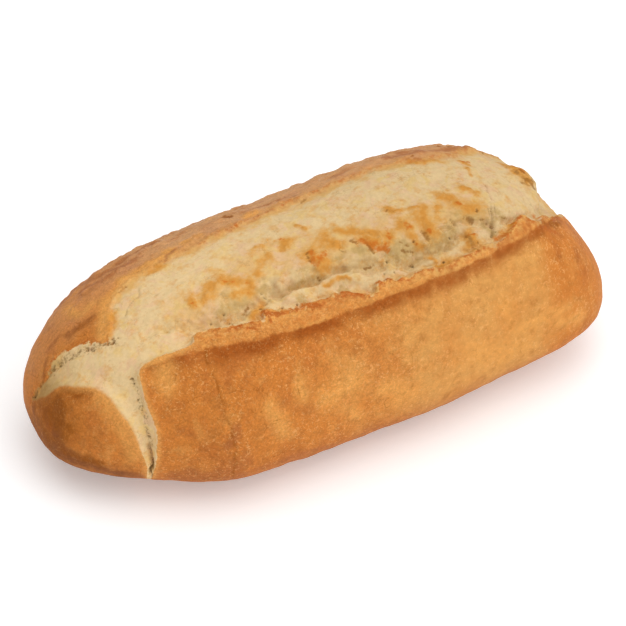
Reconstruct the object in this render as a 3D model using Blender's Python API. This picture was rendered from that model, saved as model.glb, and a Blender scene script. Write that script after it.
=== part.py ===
"""An Italian bread loaf, modelled as one closed solid.

The loaf is a rounded, flat-bottomed body whose width and height change along its
length. Its crust opened in the oven along one long cut on top, and along a short
cut across the left end. The crust lips, the shelf behind them, the crevice, the
swollen crumb and the larger crags are relief in the one solid.

Units are metres. +Z is up, X runs along the loaf with the taller end at +X, and
the long cut lies towards -Y.
"""

import math

import bmesh
import bpy
import numpy as np
from mathutils import Matrix, Vector, noise

MM = 0.001

# The body. Shares are added to 1, at nine stations from the left end to the right.
HALF_LENGTH = 135.0 * MM
HALF_WIDTH = 64.3 * MM
CROWN_ABOVE_BELT = 60.9 * MM
BELT_HEIGHT = 29.9 * MM
PRESSED_FLAT = 3.5 * MM
PLAN_POWER = 2.95
CROWN_POWER = 2.25
FOOT_POWER = 2.28
NEAR_SIDE_SHARES = (-0.26, -0.15, 0.00, -0.025, -0.05, -0.06, -0.10, -0.03, 0.15)
FAR_SIDE_SHARES = (-0.16, -0.08, -0.05, -0.05, -0.045, -0.025, 0.015, 0.08, 0.14)
HEIGHT_SHARES = (-0.13, -0.05, -0.04, -0.025, 0.01, 0.06, 0.10, 0.085, -0.06)

# Where the crust tore, as points on the body. Each run has only the points its bends need.
TIP = (-134 * MM, 6 * MM, 34 * MM)
BAND_EDGE = (
    (-128 * MM, 4 * MM, 47 * MM),
    (-122 * MM, 6 * MM, 54 * MM),
    (-112 * MM, 1 * MM, 63 * MM),
    (-101 * MM, -9 * MM, 70 * MM),
)
FAR_EDGE = (
    (-96 * MM, -7 * MM, 73 * MM),
    (-92 * MM, 3 * MM, 74 * MM),
    (-68 * MM, 13 * MM, 81 * MM),
    (-38 * MM, 19 * MM, 85 * MM),
    (4 * MM, 22 * MM, 89 * MM),
    (45 * MM, 25 * MM, 92 * MM),
    (81 * MM, 30 * MM, 86 * MM),
    (103 * MM, 25 * MM, 77 * MM),
)
RIGHT_END = (
    (118 * MM, 32 * MM, 54 * MM),
    (127 * MM, 26 * MM, 42 * MM),
    (131 * MM, 12 * MM, 39 * MM),
    (131 * MM, -3 * MM, 44 * MM),
    (128 * MM, -9 * MM, 52 * MM),
)
LEDGE = (
    (121 * MM, -7 * MM, 61 * MM),
    (108 * MM, -20 * MM, 73 * MM),
    (100 * MM, -22 * MM, 79 * MM),
    (86 * MM, -27 * MM, 84 * MM),
    (69 * MM, -35 * MM, 84 * MM),
    (50 * MM, -36 * MM, 85 * MM),
    (30 * MM, -40 * MM, 82 * MM),
    (6 * MM, -38 * MM, 82 * MM),
    (-18 * MM, -35 * MM, 82 * MM),
    (-36 * MM, -32 * MM, 82 * MM),
    (-50 * MM, -34 * MM, 79 * MM),
    (-68 * MM, -29 * MM, 78 * MM),
    (-85 * MM, -29 * MM, 73 * MM),
)
PANEL_EDGE = (
    (-95 * MM, -30 * MM, 68 * MM),
    (-96 * MM, -37 * MM, 61 * MM),
    (-95 * MM, -45 * MM, 50 * MM),
    (-96 * MM, -48 * MM, 37 * MM),
    (-98 * MM, -46 * MM, 21 * MM),
)
CUT_FOOT = (-100 * MM, -42 * MM, 12 * MM)
NOSE_EDGE = (
    (-101 * MM, -46 * MM, 27 * MM),
    (-103 * MM, -43 * MM, 40 * MM),
    (-106 * MM, -39 * MM, 49 * MM),
    (-111 * MM, -29 * MM, 57 * MM),
    (-116 * MM, -20 * MM, 57 * MM),
    (-125 * MM, -9 * MM, 51 * MM),
    (-131 * MM, -3 * MM, 42 * MM),
)
CREST = (
    (112 * MM, -18 * MM, 70 * MM),
    (100 * MM, -29 * MM, 77 * MM),
    (82 * MM, -37 * MM, 79 * MM),
    (58 * MM, -42 * MM, 80 * MM),
    (30 * MM, -44 * MM, 78 * MM),
    (-9 * MM, -42 * MM, 77 * MM),
    (-42 * MM, -41 * MM, 76 * MM),
    (-68 * MM, -36 * MM, 75 * MM),
    (-88 * MM, -30 * MM, 71 * MM),
)
VALLEY = (
    (-46 * MM, -30 * MM, 81 * MM),
    (-32 * MM, -25 * MM, 85 * MM),
    (-12 * MM, -27 * MM, 86 * MM),
    (12 * MM, -31 * MM, 87 * MM),
    (38 * MM, -34 * MM, 87 * MM),
    (57 * MM, -30 * MM, 89 * MM),
)
DOME_END = (
    (90 * MM, -22 * MM, 83 * MM),
    (102 * MM, -17 * MM, 79 * MM),
    (109 * MM, -6 * MM, 74 * MM),
    (111 * MM, 5 * MM, 73 * MM),
    (111 * MM, 16 * MM, 71 * MM),
    (107 * MM, 28 * MM, 72 * MM),
)
CROSS_CREVICE = (
    (-99 * MM, -30 * MM, 65 * MM),
    (-99 * MM, -38 * MM, 58 * MM),
    (-99 * MM, -43 * MM, 49 * MM),
    (-99 * MM, -46 * MM, 39 * MM),
    (-99 * MM, -47 * MM, 27 * MM),
    (-99 * MM, -45 * MM, 12 * MM),
)
BAND_CREVICE = (
    (-130 * MM, 1 * MM, 43 * MM),
    (-126 * MM, 3 * MM, 50 * MM),
    (-117 * MM, 1 * MM, 59 * MM),
    (-104 * MM, -10 * MM, 68 * MM),
)

# Rounded lumps, each with its radius and rise: the dome's end, and a flap of far crust.
LUMPS = (
    (107 * MM, 7 * MM, 75 * MM, 9.0 * MM, 4.4 * MM),
    (106 * MM, -4 * MM, 77 * MM, 5.0 * MM, 1.4 * MM),
    (92 * MM, 29 * MM, 82 * MM, 5.0 * MM, 1.3 * MM),
)

# How deep and wide each form is.
SHELF_DROP = 2.6 * MM
SHELF_WIDTH = 9.0 * MM
VALLEY_DEPTH = 4.2 * MM
VALLEY_WIDTH = 2.4 * MM
VALLEY_FLANK_WIDTH = 5.0 * MM
END_DROP = 5.0 * MM
END_FACE = 4.0 * MM
END_FADE = 10.0 * MM
FAR_STEP = 0.8 * MM
FAR_STEP_WIDTH = 9.0 * MM
BAND_DROP = 2.4 * MM
BAND_WIDTH = 16.0 * MM
CROSS_DEPTH = 4.2 * MM
CROSS_WIDTH = 1.8 * MM
CROSS_SHALLOW_SHARE = 0.25
CROSS_DEEPENS = 48.0 * MM
CROSS_DEEP = 36.0 * MM
BAND_CREVICE_DEPTH = 1.4 * MM
BAND_CREVICE_WIDTH = 2.4 * MM
TORN_EDGE = 2.2 * MM
CREST_RISE = 1.4 * MM
CREST_WIDTH = 4.5 * MM
LIP_RISE = 0.8 * MM
LIP_WIDTH = 4.0 * MM
CORNER_RISE = 1.4 * MM
CORNER_WIDTH = 9.0 * MM
CREST_ENDS = 112.0 * MM
CREST_FULL = 88.0 * MM
UPPER_STARTS = 16.0 * MM
UPPER_FULL = 40.0 * MM
CRAG_RISE = 1.5 * MM
CRAG_SPAN = 11.0 * MM
CRUMB_RISE = 0.9 * MM
CRUMB_SPAN = 5.0 * MM
SMOOTH_CRUMB_SHARE = 0.35
CRUST_SWELL = 0.6 * MM
CRUST_SWELL_SPAN = 34.0 * MM
RELIEF_STARTS = 5.0 * MM
RELIEF_FULL = 18.0 * MM

# The mesh.
SEGMENTS_ALONG = 136
SEGMENTS_ACROSS = 68
SEGMENTS_UP = 48
KEPT_SHARE_OF_FACES = 0.14
LINE_STEP = 1.0 * MM
SEARCH_STEPS = 20
SEARCH_SHARE = 0.7
LUMP_SHIFT = Vector((17.3, 5.1, 9.7))
DOWN_THE_NEAR_SIDE = np.array((0.0, -0.75, -0.66))
OUT_OF_THE_END = np.array((0.8, 0.0, -0.6))

CRUST_COLOUR = (0.58, 0.28, 0.09, 1.0)
CRUST_ROUGHNESS = 0.75


def clear_scene():
    for item in list(bpy.data.objects):
        bpy.data.objects.remove(item, do_unlink=True)


def curve_through(points, where):
    """Catmull-Rom through points, read at where, counted in points from 0."""
    points = np.asarray(points, float)
    last = len(points) - 1
    start = np.clip(np.floor(where).astype(int), 0, last - 1)
    t = where - start
    padded = np.concatenate(([2 * points[0] - points[1]], points, [2 * points[-1] - points[-2]]))
    before, first, second, after = (padded[start + step] for step in range(4))
    if points.ndim == 2:
        t = t[:, None]
    bend = 3 * (first - second) + after - before
    curve = 2 * before - 5 * first + 4 * second - after
    return first + 0.5 * t * (second - before + t * (curve + t * bend))


def along(shares, x):
    """A share that varies smoothly over the loaf's length."""
    stations = len(shares) - 1
    where = (np.clip(x / HALF_LENGTH, -1, 1) + 1) * stations / 2
    return 1 + curve_through(shares, where)


def body(directions):
    """Points of the plain body in the given unit directions."""
    up = directions[:, 2]
    power = np.where(up > 0, CROWN_POWER, FOOT_POWER)
    plan = np.abs(directions[:, 0]) ** PLAN_POWER + np.abs(directions[:, 1]) ** PLAN_POWER
    reach = (plan ** (power / PLAN_POWER) + np.abs(up) ** power) ** (-1 / power)
    x = HALF_LENGTH * directions[:, 0] * reach
    y = HALF_WIDTH * directions[:, 1] * reach
    y = y * np.where(y < 0, along(NEAR_SIDE_SHARES, x), along(FAR_SIDE_SHARES, x))
    z = up * reach * np.where(up > 0, CROWN_ABOVE_BELT, BELT_HEIGHT + PRESSED_FLAT)
    z = np.maximum(z + BELT_HEIGHT, 0) * along(HEIGHT_SHARES, x)
    return np.stack((x, y, z), axis=1)


def unit(vectors):
    return vectors / np.linalg.norm(vectors, axis=1, keepdims=True)


def directions_towards(places):
    """Unit directions in which the body passes nearest to the places."""
    scale = np.array((HALF_LENGTH, HALF_WIDTH, CROWN_ABOVE_BELT))
    directions = unit((places - np.array((0, 0, BELT_HEIGHT))) / scale)
    for _ in range(SEARCH_STEPS):
        directions = unit(directions + SEARCH_SHARE * (places - body(directions)) / scale)
    return directions


def line_on_body(points):
    """Directions of closely spaced points on the smooth line through points."""
    points = np.array(points)
    length = np.linalg.norm(np.diff(points, axis=0), axis=1).sum()
    count = max(int(length / LINE_STEP), 2)
    return directions_towards(curve_through(points, np.linspace(0, len(points) - 1, count)))


def way_from(places, line):
    """The way to each place from the nearest point of a line."""
    nearest = np.full(len(places), np.inf)
    way = np.zeros_like(places)
    for point in line:
        reach = ((places - point) ** 2).sum(axis=1)
        closer = reach < nearest
        nearest[closer] = reach[closer]
        way[closer] = (places - point)[closer]
    return way


def distance(places, line):
    """Distance from each place to the nearest point of a line."""
    return np.linalg.norm(way_from(places, line), axis=1)


def flattened(directions):
    """Directions drawn on a plane, with straight down at infinity."""
    return directions[:, :2] / (1 + 1e-6 + directions[:, 2:3])


def inside(directions, outline):
    """Whether each direction lies within a closed outline of directions."""
    places = flattened(directions)
    corners = flattened(outline)
    found = np.zeros(len(places), bool)
    for start, end in zip(corners, np.roll(corners, -1, axis=0)):
        crosses = (start[1] > places[:, 1]) != (end[1] > places[:, 1])
        rise = end[1] - start[1]
        if rise == 0:
            continue
        x = start[0] + (places[:, 1] - start[1]) * (end[0] - start[0]) / rise
        found ^= crosses & (places[:, 0] < x)
    return found


def ramp(value, start, end):
    """0 before start, 1 after end, and smooth between them."""
    t = np.clip((value - start) / (end - start), 0, 1)
    return t * t * (3 - 2 * t)


def groove(places, line, width):
    """1 along a line, falling off smoothly over width."""
    return np.exp(-((distance(places, line) / width) ** 2))


def lumps(places, span, seed):
    """Rounded random relief from -1 to 1, with lumps about one span apart."""
    shift = seed * LUMP_SHIFT
    return np.array([noise.noise(Vector(place) / span + shift) for place in places])


def tear_outline():
    """Directions round the torn opening in the crust."""
    outline = (TIP, *BAND_EDGE, *FAR_EDGE, *RIGHT_END, *LEDGE, *PANEL_EDGE, CUT_FOOT, *NOSE_EDGE, TIP)
    return line_on_body(outline)


def valley(places):
    """1 along the main crevice, falling off more slowly up the crumb than down to the shelf."""
    way = way_from(places, body(line_on_body(VALLEY)))
    width = np.where(way @ DOWN_THE_NEAR_SIDE > 0, VALLEY_WIDTH, VALLEY_FLANK_WIDTH)
    return np.exp(-((np.linalg.norm(way, axis=1) / width) ** 2))


def cross_crevice(places):
    """1 deep in the cut across the left end, and a small share of it near the top."""
    share = CROSS_SHALLOW_SHARE + (1 - CROSS_SHALLOW_SHARE) * ramp(places[:, 2], CROSS_DEEPENS, CROSS_DEEP)
    return share * groove(places, body(line_on_body(CROSS_CREVICE)), CROSS_WIDTH)


def beyond_dome(places):
    """0 on the swollen crumb, and 1 past the steep face at its right end."""
    way = way_from(places, body(line_on_body(DOME_END)))
    past = ramp(way @ OUT_OF_THE_END, 0, END_FACE)
    return past * (places[:, 0] > DOME_END[0][0])


def lump_heights(places):
    """Height of the rounded lumps."""
    height = np.zeros(len(places))
    for x, y, z, radius, rise in LUMPS:
        middle = body(directions_towards(np.array(((x, y, z),))))
        height = np.maximum(height, rise * groove(places, middle, radius))
    return height


def crumb_relief(places, depth_inside):
    """Height of the torn crumb above the plain body."""
    lines = {
        "ledge": (LEDGE, SHELF_WIDTH),
        "far": (FAR_EDGE, FAR_STEP_WIDTH),
        "nose": (NOSE_EDGE, BAND_WIDTH),
        "band": (BAND_CREVICE, BAND_CREVICE_WIDTH),
    }
    near = {name: groove(places, body(line_on_body(points)), width) for name, (points, width) in lines.items()}
    height = -SHELF_DROP * near["ledge"] - FAR_STEP * near["far"] - BAND_DROP * near["nose"]
    crevice = valley(places)
    height -= VALLEY_DEPTH * crevice + BAND_CREVICE_DEPTH * near["band"]
    height -= CROSS_DEPTH * cross_crevice(places)
    beyond = beyond_dome(places)
    height += (1 - beyond) * lump_heights(places)
    height -= END_DROP * beyond * ramp(depth_inside, 0, END_FADE)
    torn = np.clip(crevice + near["ledge"], 0, 1)
    rough = SMOOTH_CRUMB_SHARE + (1 - SMOOTH_CRUMB_SHARE) * torn
    height += rough * CRAG_RISE * lumps(places, CRAG_SPAN, 1)
    height += rough * CRUMB_RISE * lumps(places, CRUMB_SPAN, 2)
    return height * ramp(depth_inside, 0, TORN_EDGE)


def crust_relief(places):
    """Height of the crust above the plain body."""
    upper = ramp(places[:, 2], UPPER_STARTS, UPPER_FULL)
    ending = ramp(places[:, 0], CREST_ENDS, CREST_FULL)
    crest = groove(places, body(line_on_body(CREST)), CREST_WIDTH)
    lip = groove(places, body(line_on_body((*LEDGE, *PANEL_EDGE))), LIP_WIDTH)
    corner = groove(places, body(line_on_body(PANEL_EDGE)), CORNER_WIDTH)
    height = ending * (CREST_RISE * crest + LIP_RISE * upper * lip) + CORNER_RISE * upper * corner
    height += np.where(places[:, 0] > CREST_FULL - CORNER_WIDTH, lump_heights(places), 0)
    height += CRUST_SWELL * lumps(places, CRUST_SWELL_SPAN, 3)
    return height


def relief(places, directions):
    """Height of the loaf's surface above the plain body."""
    outline = tear_outline()
    depth = distance(places, body(outline))
    torn = inside(directions, outline)
    crust = np.where(torn, np.exp(-((depth / TORN_EDGE) ** 2)), 1)
    height = np.where(torn, crumb_relief(places, depth), 0) + crust * crust_relief(places)
    return height * ramp(places[:, 2], RELIEF_STARTS, RELIEF_FULL)


def cube_of_grids():
    """A cube from -1 to 1 whose six sides are grids that share their edges."""
    quarter = math.radians(90)
    sides = []
    for sign in (-1, 1):
        sides.append(((0, 0, sign), Matrix.Identity(4), SEGMENTS_ALONG, SEGMENTS_ACROSS))
        sides.append(((0, sign, 0), Matrix.Rotation(quarter, 4, "X"), SEGMENTS_ALONG, SEGMENTS_UP))
        sides.append(((sign, 0, 0), Matrix.Rotation(quarter, 4, "Y"), SEGMENTS_UP, SEGMENTS_ACROSS))
    mesh = bmesh.new()
    for place, turn, wide, high in sides:
        matrix = Matrix.Translation(place) @ turn
        bmesh.ops.create_grid(mesh, x_segments=wide, y_segments=high, size=1, matrix=matrix)
    bmesh.ops.remove_doubles(mesh, verts=mesh.verts, dist=1e-5)
    bmesh.ops.recalc_face_normals(mesh, faces=mesh.faces)
    return mesh


def seat(places):
    """Move the loaf so that the middle of its box stands on the origin."""
    low = places.min(axis=0)
    high = places.max(axis=0)
    middle = (low + high) / 2
    return places - np.array((middle[0], middle[1], low[2]))


def loaf_mesh():
    grid = cube_of_grids()
    mesh = bpy.data.meshes.new("loaf")
    grid.to_mesh(mesh)
    grid.free()
    corners = np.array([vertex.co[:] for vertex in mesh.vertices])
    directions = unit(corners)
    places = body(directions)
    mesh.vertices.foreach_set("co", places.ravel())
    mesh.update()
    normals = np.array([vertex.normal[:] for vertex in mesh.vertices])
    places = places + normals * relief(places, directions)[:, None]
    mesh.vertices.foreach_set("co", seat(places).ravel())
    mesh.update()
    return mesh


def crust_material():
    material = bpy.data.materials.new("crust")
    material.use_nodes = True
    shader = material.node_tree.nodes["Principled BSDF"]
    shader.inputs["Base Color"].default_value = CRUST_COLOUR
    shader.inputs["Roughness"].default_value = CRUST_ROUGHNESS
    shader.inputs["Metallic"].default_value = 0.0
    return material


def make_loaf():
    loaf = bpy.data.objects.new("loaf", loaf_mesh())
    bpy.context.scene.collection.objects.link(loaf)
    loaf.data.materials.append(crust_material())
    loaf.data.shade_smooth()
    thin = loaf.modifiers.new("fewer faces", "DECIMATE")
    thin.ratio = KEPT_SHARE_OF_FACES
    return loaf


def main():
    clear_scene()
    make_loaf()


main()
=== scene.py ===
"""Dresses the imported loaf: a fine mesh of crust and torn crumb, and a plain studio.

The loaf is made from the same body and the same tear as the solid it stands for,
with finer relief: torn rims, crags, cracks, pits and flakes. Its colours come from
marks left on the mesh, such as the distance below the crest, and from noise.

Lengths are metres. +Z is up, X runs along the loaf, and the long tear leans to -Y.
"""

import math

import bmesh
import bpy
import numpy as np
from mathutils import Matrix, Vector, kdtree, noise


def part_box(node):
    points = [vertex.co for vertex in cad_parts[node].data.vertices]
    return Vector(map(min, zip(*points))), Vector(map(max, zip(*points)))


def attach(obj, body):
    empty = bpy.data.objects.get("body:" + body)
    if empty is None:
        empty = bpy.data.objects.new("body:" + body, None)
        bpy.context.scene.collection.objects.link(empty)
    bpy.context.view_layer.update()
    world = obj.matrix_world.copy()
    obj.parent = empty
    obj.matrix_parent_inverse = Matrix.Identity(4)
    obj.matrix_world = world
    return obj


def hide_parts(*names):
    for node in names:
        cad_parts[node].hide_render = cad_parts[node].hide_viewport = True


bl_info = {
    "name": "Crusty Loaf",
    "version": (1, 0, 0),
    "blender": (4, 5, 0),
    "location": "3D View > Sidebar > Loaf",
    "description": "Makes a crusty white loaf with a torn top, and a plain studio round it",
    "category": "Object",
}

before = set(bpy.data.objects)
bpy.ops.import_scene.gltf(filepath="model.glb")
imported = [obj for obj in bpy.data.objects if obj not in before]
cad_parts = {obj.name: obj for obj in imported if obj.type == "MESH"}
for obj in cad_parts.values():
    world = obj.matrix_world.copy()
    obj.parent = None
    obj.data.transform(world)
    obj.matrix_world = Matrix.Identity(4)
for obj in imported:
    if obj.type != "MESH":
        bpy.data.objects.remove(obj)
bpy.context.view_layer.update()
LOAF_LOW, LOAF_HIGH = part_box("loaf")

MM = 0.001

# The body. Shares are added to 1, at nine stations from the left end to the right.
HALF_LENGTH = 135.0 * MM
HALF_WIDTH = 64.3 * MM
CROWN_ABOVE_BELT = 60.9 * MM
BELT_HEIGHT = 29.9 * MM
PRESSED_FLAT = 3.5 * MM
PLAN_POWER = 2.95
CROWN_POWER = 2.25
FOOT_POWER = 2.28
NEAR_SIDE_SHARES = (-0.26, -0.15, 0.00, -0.025, -0.05, -0.06, -0.10, -0.03, 0.15)
FAR_SIDE_SHARES = (-0.16, -0.08, -0.05, -0.05, -0.045, -0.025, 0.015, 0.08, 0.14)
HEIGHT_SHARES = (-0.13, -0.05, -0.04, -0.025, 0.01, 0.06, 0.10, 0.085, -0.06)

# The edges of the torn opening, in millimetres, as points on the body. It runs from its
# tip at the left along the far side, round the right end and back along the near side.
TIP = (-134, 6, 34)
BAND_EDGE = ((-128, 4, 47), (-122, 6, 54), (-112, 1, 63), (-101, -9, 70))
FAR_EDGE = (
    (-98, -2, 72), (-95, 4, 73), (-90, 11, 75), (-81, 16, 77), (-68, 17, 80), (-52, 18, 84),
    (-36, 20, 86), (4, 22, 89), (45, 23, 92), (63, 21, 93), (77, 22, 90), (89, 27, 85),
    (103, 31, 75),
)
RIGHT_END = ((118, 32, 54), (127, 26, 42), (131, 12, 39), (131, -3, 44), (128, -9, 52))
LEDGE = (
    (121, -7, 61), (108, -20, 73), (101, -22, 78), (95, -27, 80), (90, -24, 84), (82, -31, 84),
    (71, -36, 83), (63, -36, 84), (53, -38, 84), (42, -40, 83), (21, -38, 83), (13, -37, 84),
    (9, -40, 80), (-4, -36, 82), (-15, -35, 82), (-25, -36, 81), (-36, -31, 82), (-40, -35, 80),
    (-51, -33, 79), (-68, -29, 78),
)
PANEL_EDGE = (
    (-73, -33, 75), (-87, -30, 71), (-95, -30, 68), (-96, -37, 61), (-95, -45, 50), (-96, -48, 37),
    (-98, -46, 21),
)
CUT_FOOT = (-100, -42, 12)
NOSE_EDGE = (
    (-101, -46, 27), (-103, -43, 40), (-106, -39, 49), (-111, -29, 57), (-116, -20, 57),
    (-125, -9, 51), (-131, -3, 42),
)

# The crest of the near side's crust, and the right end of the swollen crumb.
CREST = (
    (112, -17, 70), (103, -24, 76), (94, -29, 79), (80, -35, 81), (59, -40, 81), (38, -42, 80),
    (4, -43, 78), (-24, -43, 76), (-42, -42, 76), (-60, -39, 75), (-74, -36, 74), (-87, -32, 70),
)
DOME_END = ((90, -22, 83), (102, -17, 79), (109, -6, 74), (111, 5, 73), (111, 16, 71), (107, 28, 72))

# Crevices in the torn crumb: depth, half width below and above, then their points.
CREVICES = (
    (1.4, 1.4, 6.0, (-79, -21, 77), (-69, -24, 79), (-60, -29, 80), (-50, -30, 81), (-44, -29, 82)),
    (3.0, 1.4, 4.5, (-47, -30, 81), (-43, -28, 82), (-39, -27, 83), (-35, -27, 84), (-32, -25, 85)),
    (3.8, 1.5, 4.0, (-32, -25, 85), (-28, -27, 85), (-20, -26, 86), (-12, -27, 86), (-8, -26, 87),
      (0, -27, 87), (5, -28, 87), (12, -31, 87)),
    (3.4, 2.0, 6.0, (12, -31, 87), (20, -31, 87), (29, -36, 85), (38, -34, 87), (49, -33, 88),
      (57, -30, 89)),
    (2.4, 1.3, 1.8, (50, -25, 92), (56, -24, 91), (64, -25, 91), (72, -27, 88), (86, -25, 85),
      (102, -19, 79)),
)
CROSS_CREVICE = (
    (-99, -30, 65), (-99, -38, 58), (-99, -43, 49), (-99, -46, 39), (-99, -47, 27), (-99, -45, 12),
)
BAND_CREVICE = ((-132, 4, 38), (-127, 4, 49), (-117, 0, 59), (-109, -5, 65), (-100, -11, 71))

# Cracks: depth, half width, then their points.
CRACKS = (
    (0.5, 0.4, (82, -4, 89), (81, -10, 90), (80, -15, 89)),
    (1.1, 0.6, (79, -16, 90), (77, -21, 89), (75, -25, 88), (74, -27, 87)),
    (0.8, 0.5, (82, -15, 89), (80, -19, 89), (78, -23, 88)),
    (0.6, 0.4, (76, -18, 90), (75, -22, 89)),
    (1.4, 0.7, (74, -27, 87), (72, -32, 85)),
    (0.3, 0.6, (-68, -37, 75), (-69, -41, 72), (-68, -49, 65), (-67, -59, 49), (-66, -62, 34),
      (-66, -59, 17)),
    (0.35, 0.35, (-72, -52, 60), (-67, -52, 62), (-63, -53, 62), (-59, -53, 62), (-54, -54, 62)),
    (0.25, 0.35, (-50, -51, 67), (-50, -54, 62), (-53, -55, 61), (-50, -57, 57), (-52, -59, 53)),
    (0.25, 0.4, (-91, -1, 75), (-87, 2, 76), (-81, 4, 78), (-79, 9, 78)),
    (0.8, 0.6, (56, -22, 92), (58, -24, 92)),
    (0.7, 0.6, (60, -30, 88), (60, -34, 86), (61, -37, 84)),
)

# Strokes of baked colour on the torn crumb: radius, then their points. Toasted patches.
GOLDEN = (
    (2.2, (-46, -18, 84), (-41, -18, 85)),
    (1.8, (105, 13, 77), (105, 7, 77), (106, 2, 76)),
    (1.1, (-7, 4, 91), (-4, 0, 91)),
    (1.0, (-8, -30, 85), (-3, -30, 85), (2, -32, 85)),
    (2.6, (1, -11, 92), (3, -15, 91)),
    (2.2, (104, 16, 78), (103, 7, 78), (105, 2, 77)),
    (2.7, (-52, -10, 84), (-58, -14, 83)),
    (2.5, (-48, -9, 85), (-43, -14, 85), (-39, -16, 86), (-39, -20, 85)),
    (1.6, (-33, -14, 87), (-29, -8, 88), (-25, -7, 89)),
    (1.8, (-63, -11, 82), (-63, -15, 82)),
    (1.8, (-15, -2, 90), (-17, -6, 90)),
    (0.9, (-30, 0, 88), (-25, 0, 89)),
    (2.0, (8, -9, 92), (14, -13, 93), (20, -17, 93), (26, -21, 92)),
    (1.8, (13, -17, 92), (22, -23, 91)),
    (1.2, (32, -7, 95), (36, -10, 95), (44, -11, 95)),
    (1.6, (26, -19, 93), (27, -22, 92)),
    (1.8, (34, -18, 94), (36, -20, 93)),
    (2.7, (45, -13, 95), (43, -20, 93), (44, -24, 92)),
    (1.6, (36, -25, 92), (36, -28, 90)),
    (1.6, (53, -14, 94), (50, -19, 93)),
    (2.7, (58, -9, 95), (61, -12, 94), (65, -17, 93), (70, -20, 91)),
    (1.8, (70, -5, 93), (74, -9, 92)),
    (1.4, (81, 16, 89), (83, 13, 89)),
    (1.0, (79, 8, 90), (79, 3, 91)),
    (1.4, (57, 22, 93), (61, 19, 93), (68, 18, 92)),
    (1.8, (102, 7, 79), (112, 15, 70)),
    (2.2, (60, -30, 88), (62, -34, 86), (60, -34, 86)),
    (1.8, (79, -32, 84), (83, -29, 84)),
    (1.4, (41, -34, 87), (41, -36, 85)),
    (2.2, (42, -40, 83), (51, -39, 83)),
    (3.1, (-8, -14, 90), (-6, -21, 89)),
    (1.6, (-67, 15, 81), (-72, 15, 80)),
    (2.2, (-96, 2, 73), (-100, -5, 71)),
    (1.8, (-42, -31, 81), (-37, -28, 83)),
)
# The hearts of toasted patches, and orange crags of the rims.
ORANGE = (
    (1.4, (105, 13, 77), (105, 7, 77)),
    (2.1, (13, -18, 92), (17, -22, 91), (23, -25, 91)),
    (1.8, (-8, -14, 90), (-8, -20, 89), (-3, -17, 90)),
    (1.4, (14, -19, 92), (17, -22, 91), (23, -24, 91)),
    (1.0, (-16, 0, 90), (-15, -1, 90)),
    (1.2, (-40, -16, 86), (-40, -19, 85)),
    (0.7, (-48, -9, 85), (-44, -13, 85)),
    (1.2, (35, -18, 93), (36, -20, 93)),
    (1.2, (26, -21, 92), (26, -22, 92)),
    (0.8, (26, -16, 93), (27, -19, 93)),
    (1.1, (42, -23, 92), (44, -25, 92)),
    (1.3, (62, -14, 93), (65, -16, 93)),
    (1.2, (81, 16, 89), (84, 15, 88)),
    (0.7, (36, -26, 91), (36, -28, 90)),
    (0.9, (-28, 21, 86), (-27, 20, 86)),
    (0.9, (-63, -14, 82), (-63, -16, 82)),
    (1.7, (-38, -32, 81), (-33, -34, 81), (-27, -35, 81), (-22, -36, 81)),
    (0.8, (-37, -33, 81), (-37, -36, 79)),
    (1.8, (-21, -35, 81), (-16, -37, 81), (-10, -36, 82)),
    (1.0, (-3, -36, 82), (-3, -38, 81)),
    (1.5, (0, -38, 81), (8, -39, 81)),
    (0.9, (-13, -32, 84), (-12, -35, 82)),
    (1.4, (13, -37, 83), (15, -39, 82)),
    (0.8, (-54, -33, 79), (-49, -35, 79), (-45, -38, 78)),
    (0.7, (14, -36, 84), (22, -39, 83), (27, -40, 82)),
    (1.2, (82, -31, 84), (86, -27, 84), (89, -25, 83)),
    (1.2, (74, -33, 84), (79, -32, 84)),
    (0.9, (57, -38, 84), (61, -37, 83)),
    (0.7, (62, -29, 89), (64, -31, 87)),
    (0.8, (103, -18, 78), (99, -23, 79)),
    (1.4, (99, -29, 77), (106, -29, 72)),
)
# Scorched places, and painted shade in hollow places.
SCORCHED_AND_SHADED = (
    (1.3, (102, 8, 79), (104, 3, 78)),
    (1.2, (-43, -26, 83), (-45, -28, 82)),
    (0.7, (-57, -27, 81), (-54, -29, 81)),
    (0.7, (-62, -21, 81), (-62, -22, 81)),
    (0.9, (-10, -14, 90), (-10, -17, 89)),
    (0.9, (10, -16, 92), (12, -19, 91)),
    (1.2, (15, -21, 91), (17, -25, 90)),
    (0.6, (4, -24, 89), (5, -27, 88)),
    (0.7, (11, -29, 87), (15, -29, 88)),
    (0.9, (3, -18, 90), (4, -19, 90)),
    (0.9, (-10, -24, 87), (-9, -25, 87)),
    (0.9, (29, -29, 90), (33, -30, 89)),
    (0.7, (29, -35, 86), (33, -35, 86)),
    (1.4, (41, -24, 92), (42, -27, 91)),
    (1.3, (63, -22, 92), (66, -24, 90)),
    (0.6, (68, -25, 90), (75, -25, 88)),
    (0.6, (58, -22, 92), (59, -24, 92)),
    (0.9, (73, -26, 88), (75, -27, 87)),
    (0.5, (81, -23, 87), (85, -23, 86)),
    (0.9, (102, 1, 79), (105, -1, 77)),
    (0.7, (30, -25, 91), (33, -28, 90)),
    (1.4, (-29, 34, 81), (-27, 29, 83)),
    (0.9, (-87, 13, 76), (-84, 14, 77)),
    (0.7, (58, 9, 95), (60, 7, 94)),
    (0.7, (31, -6, 95), (32, -8, 95)),
    (0.9, (3, 21, 90), (3, 20, 90)),
)
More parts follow.
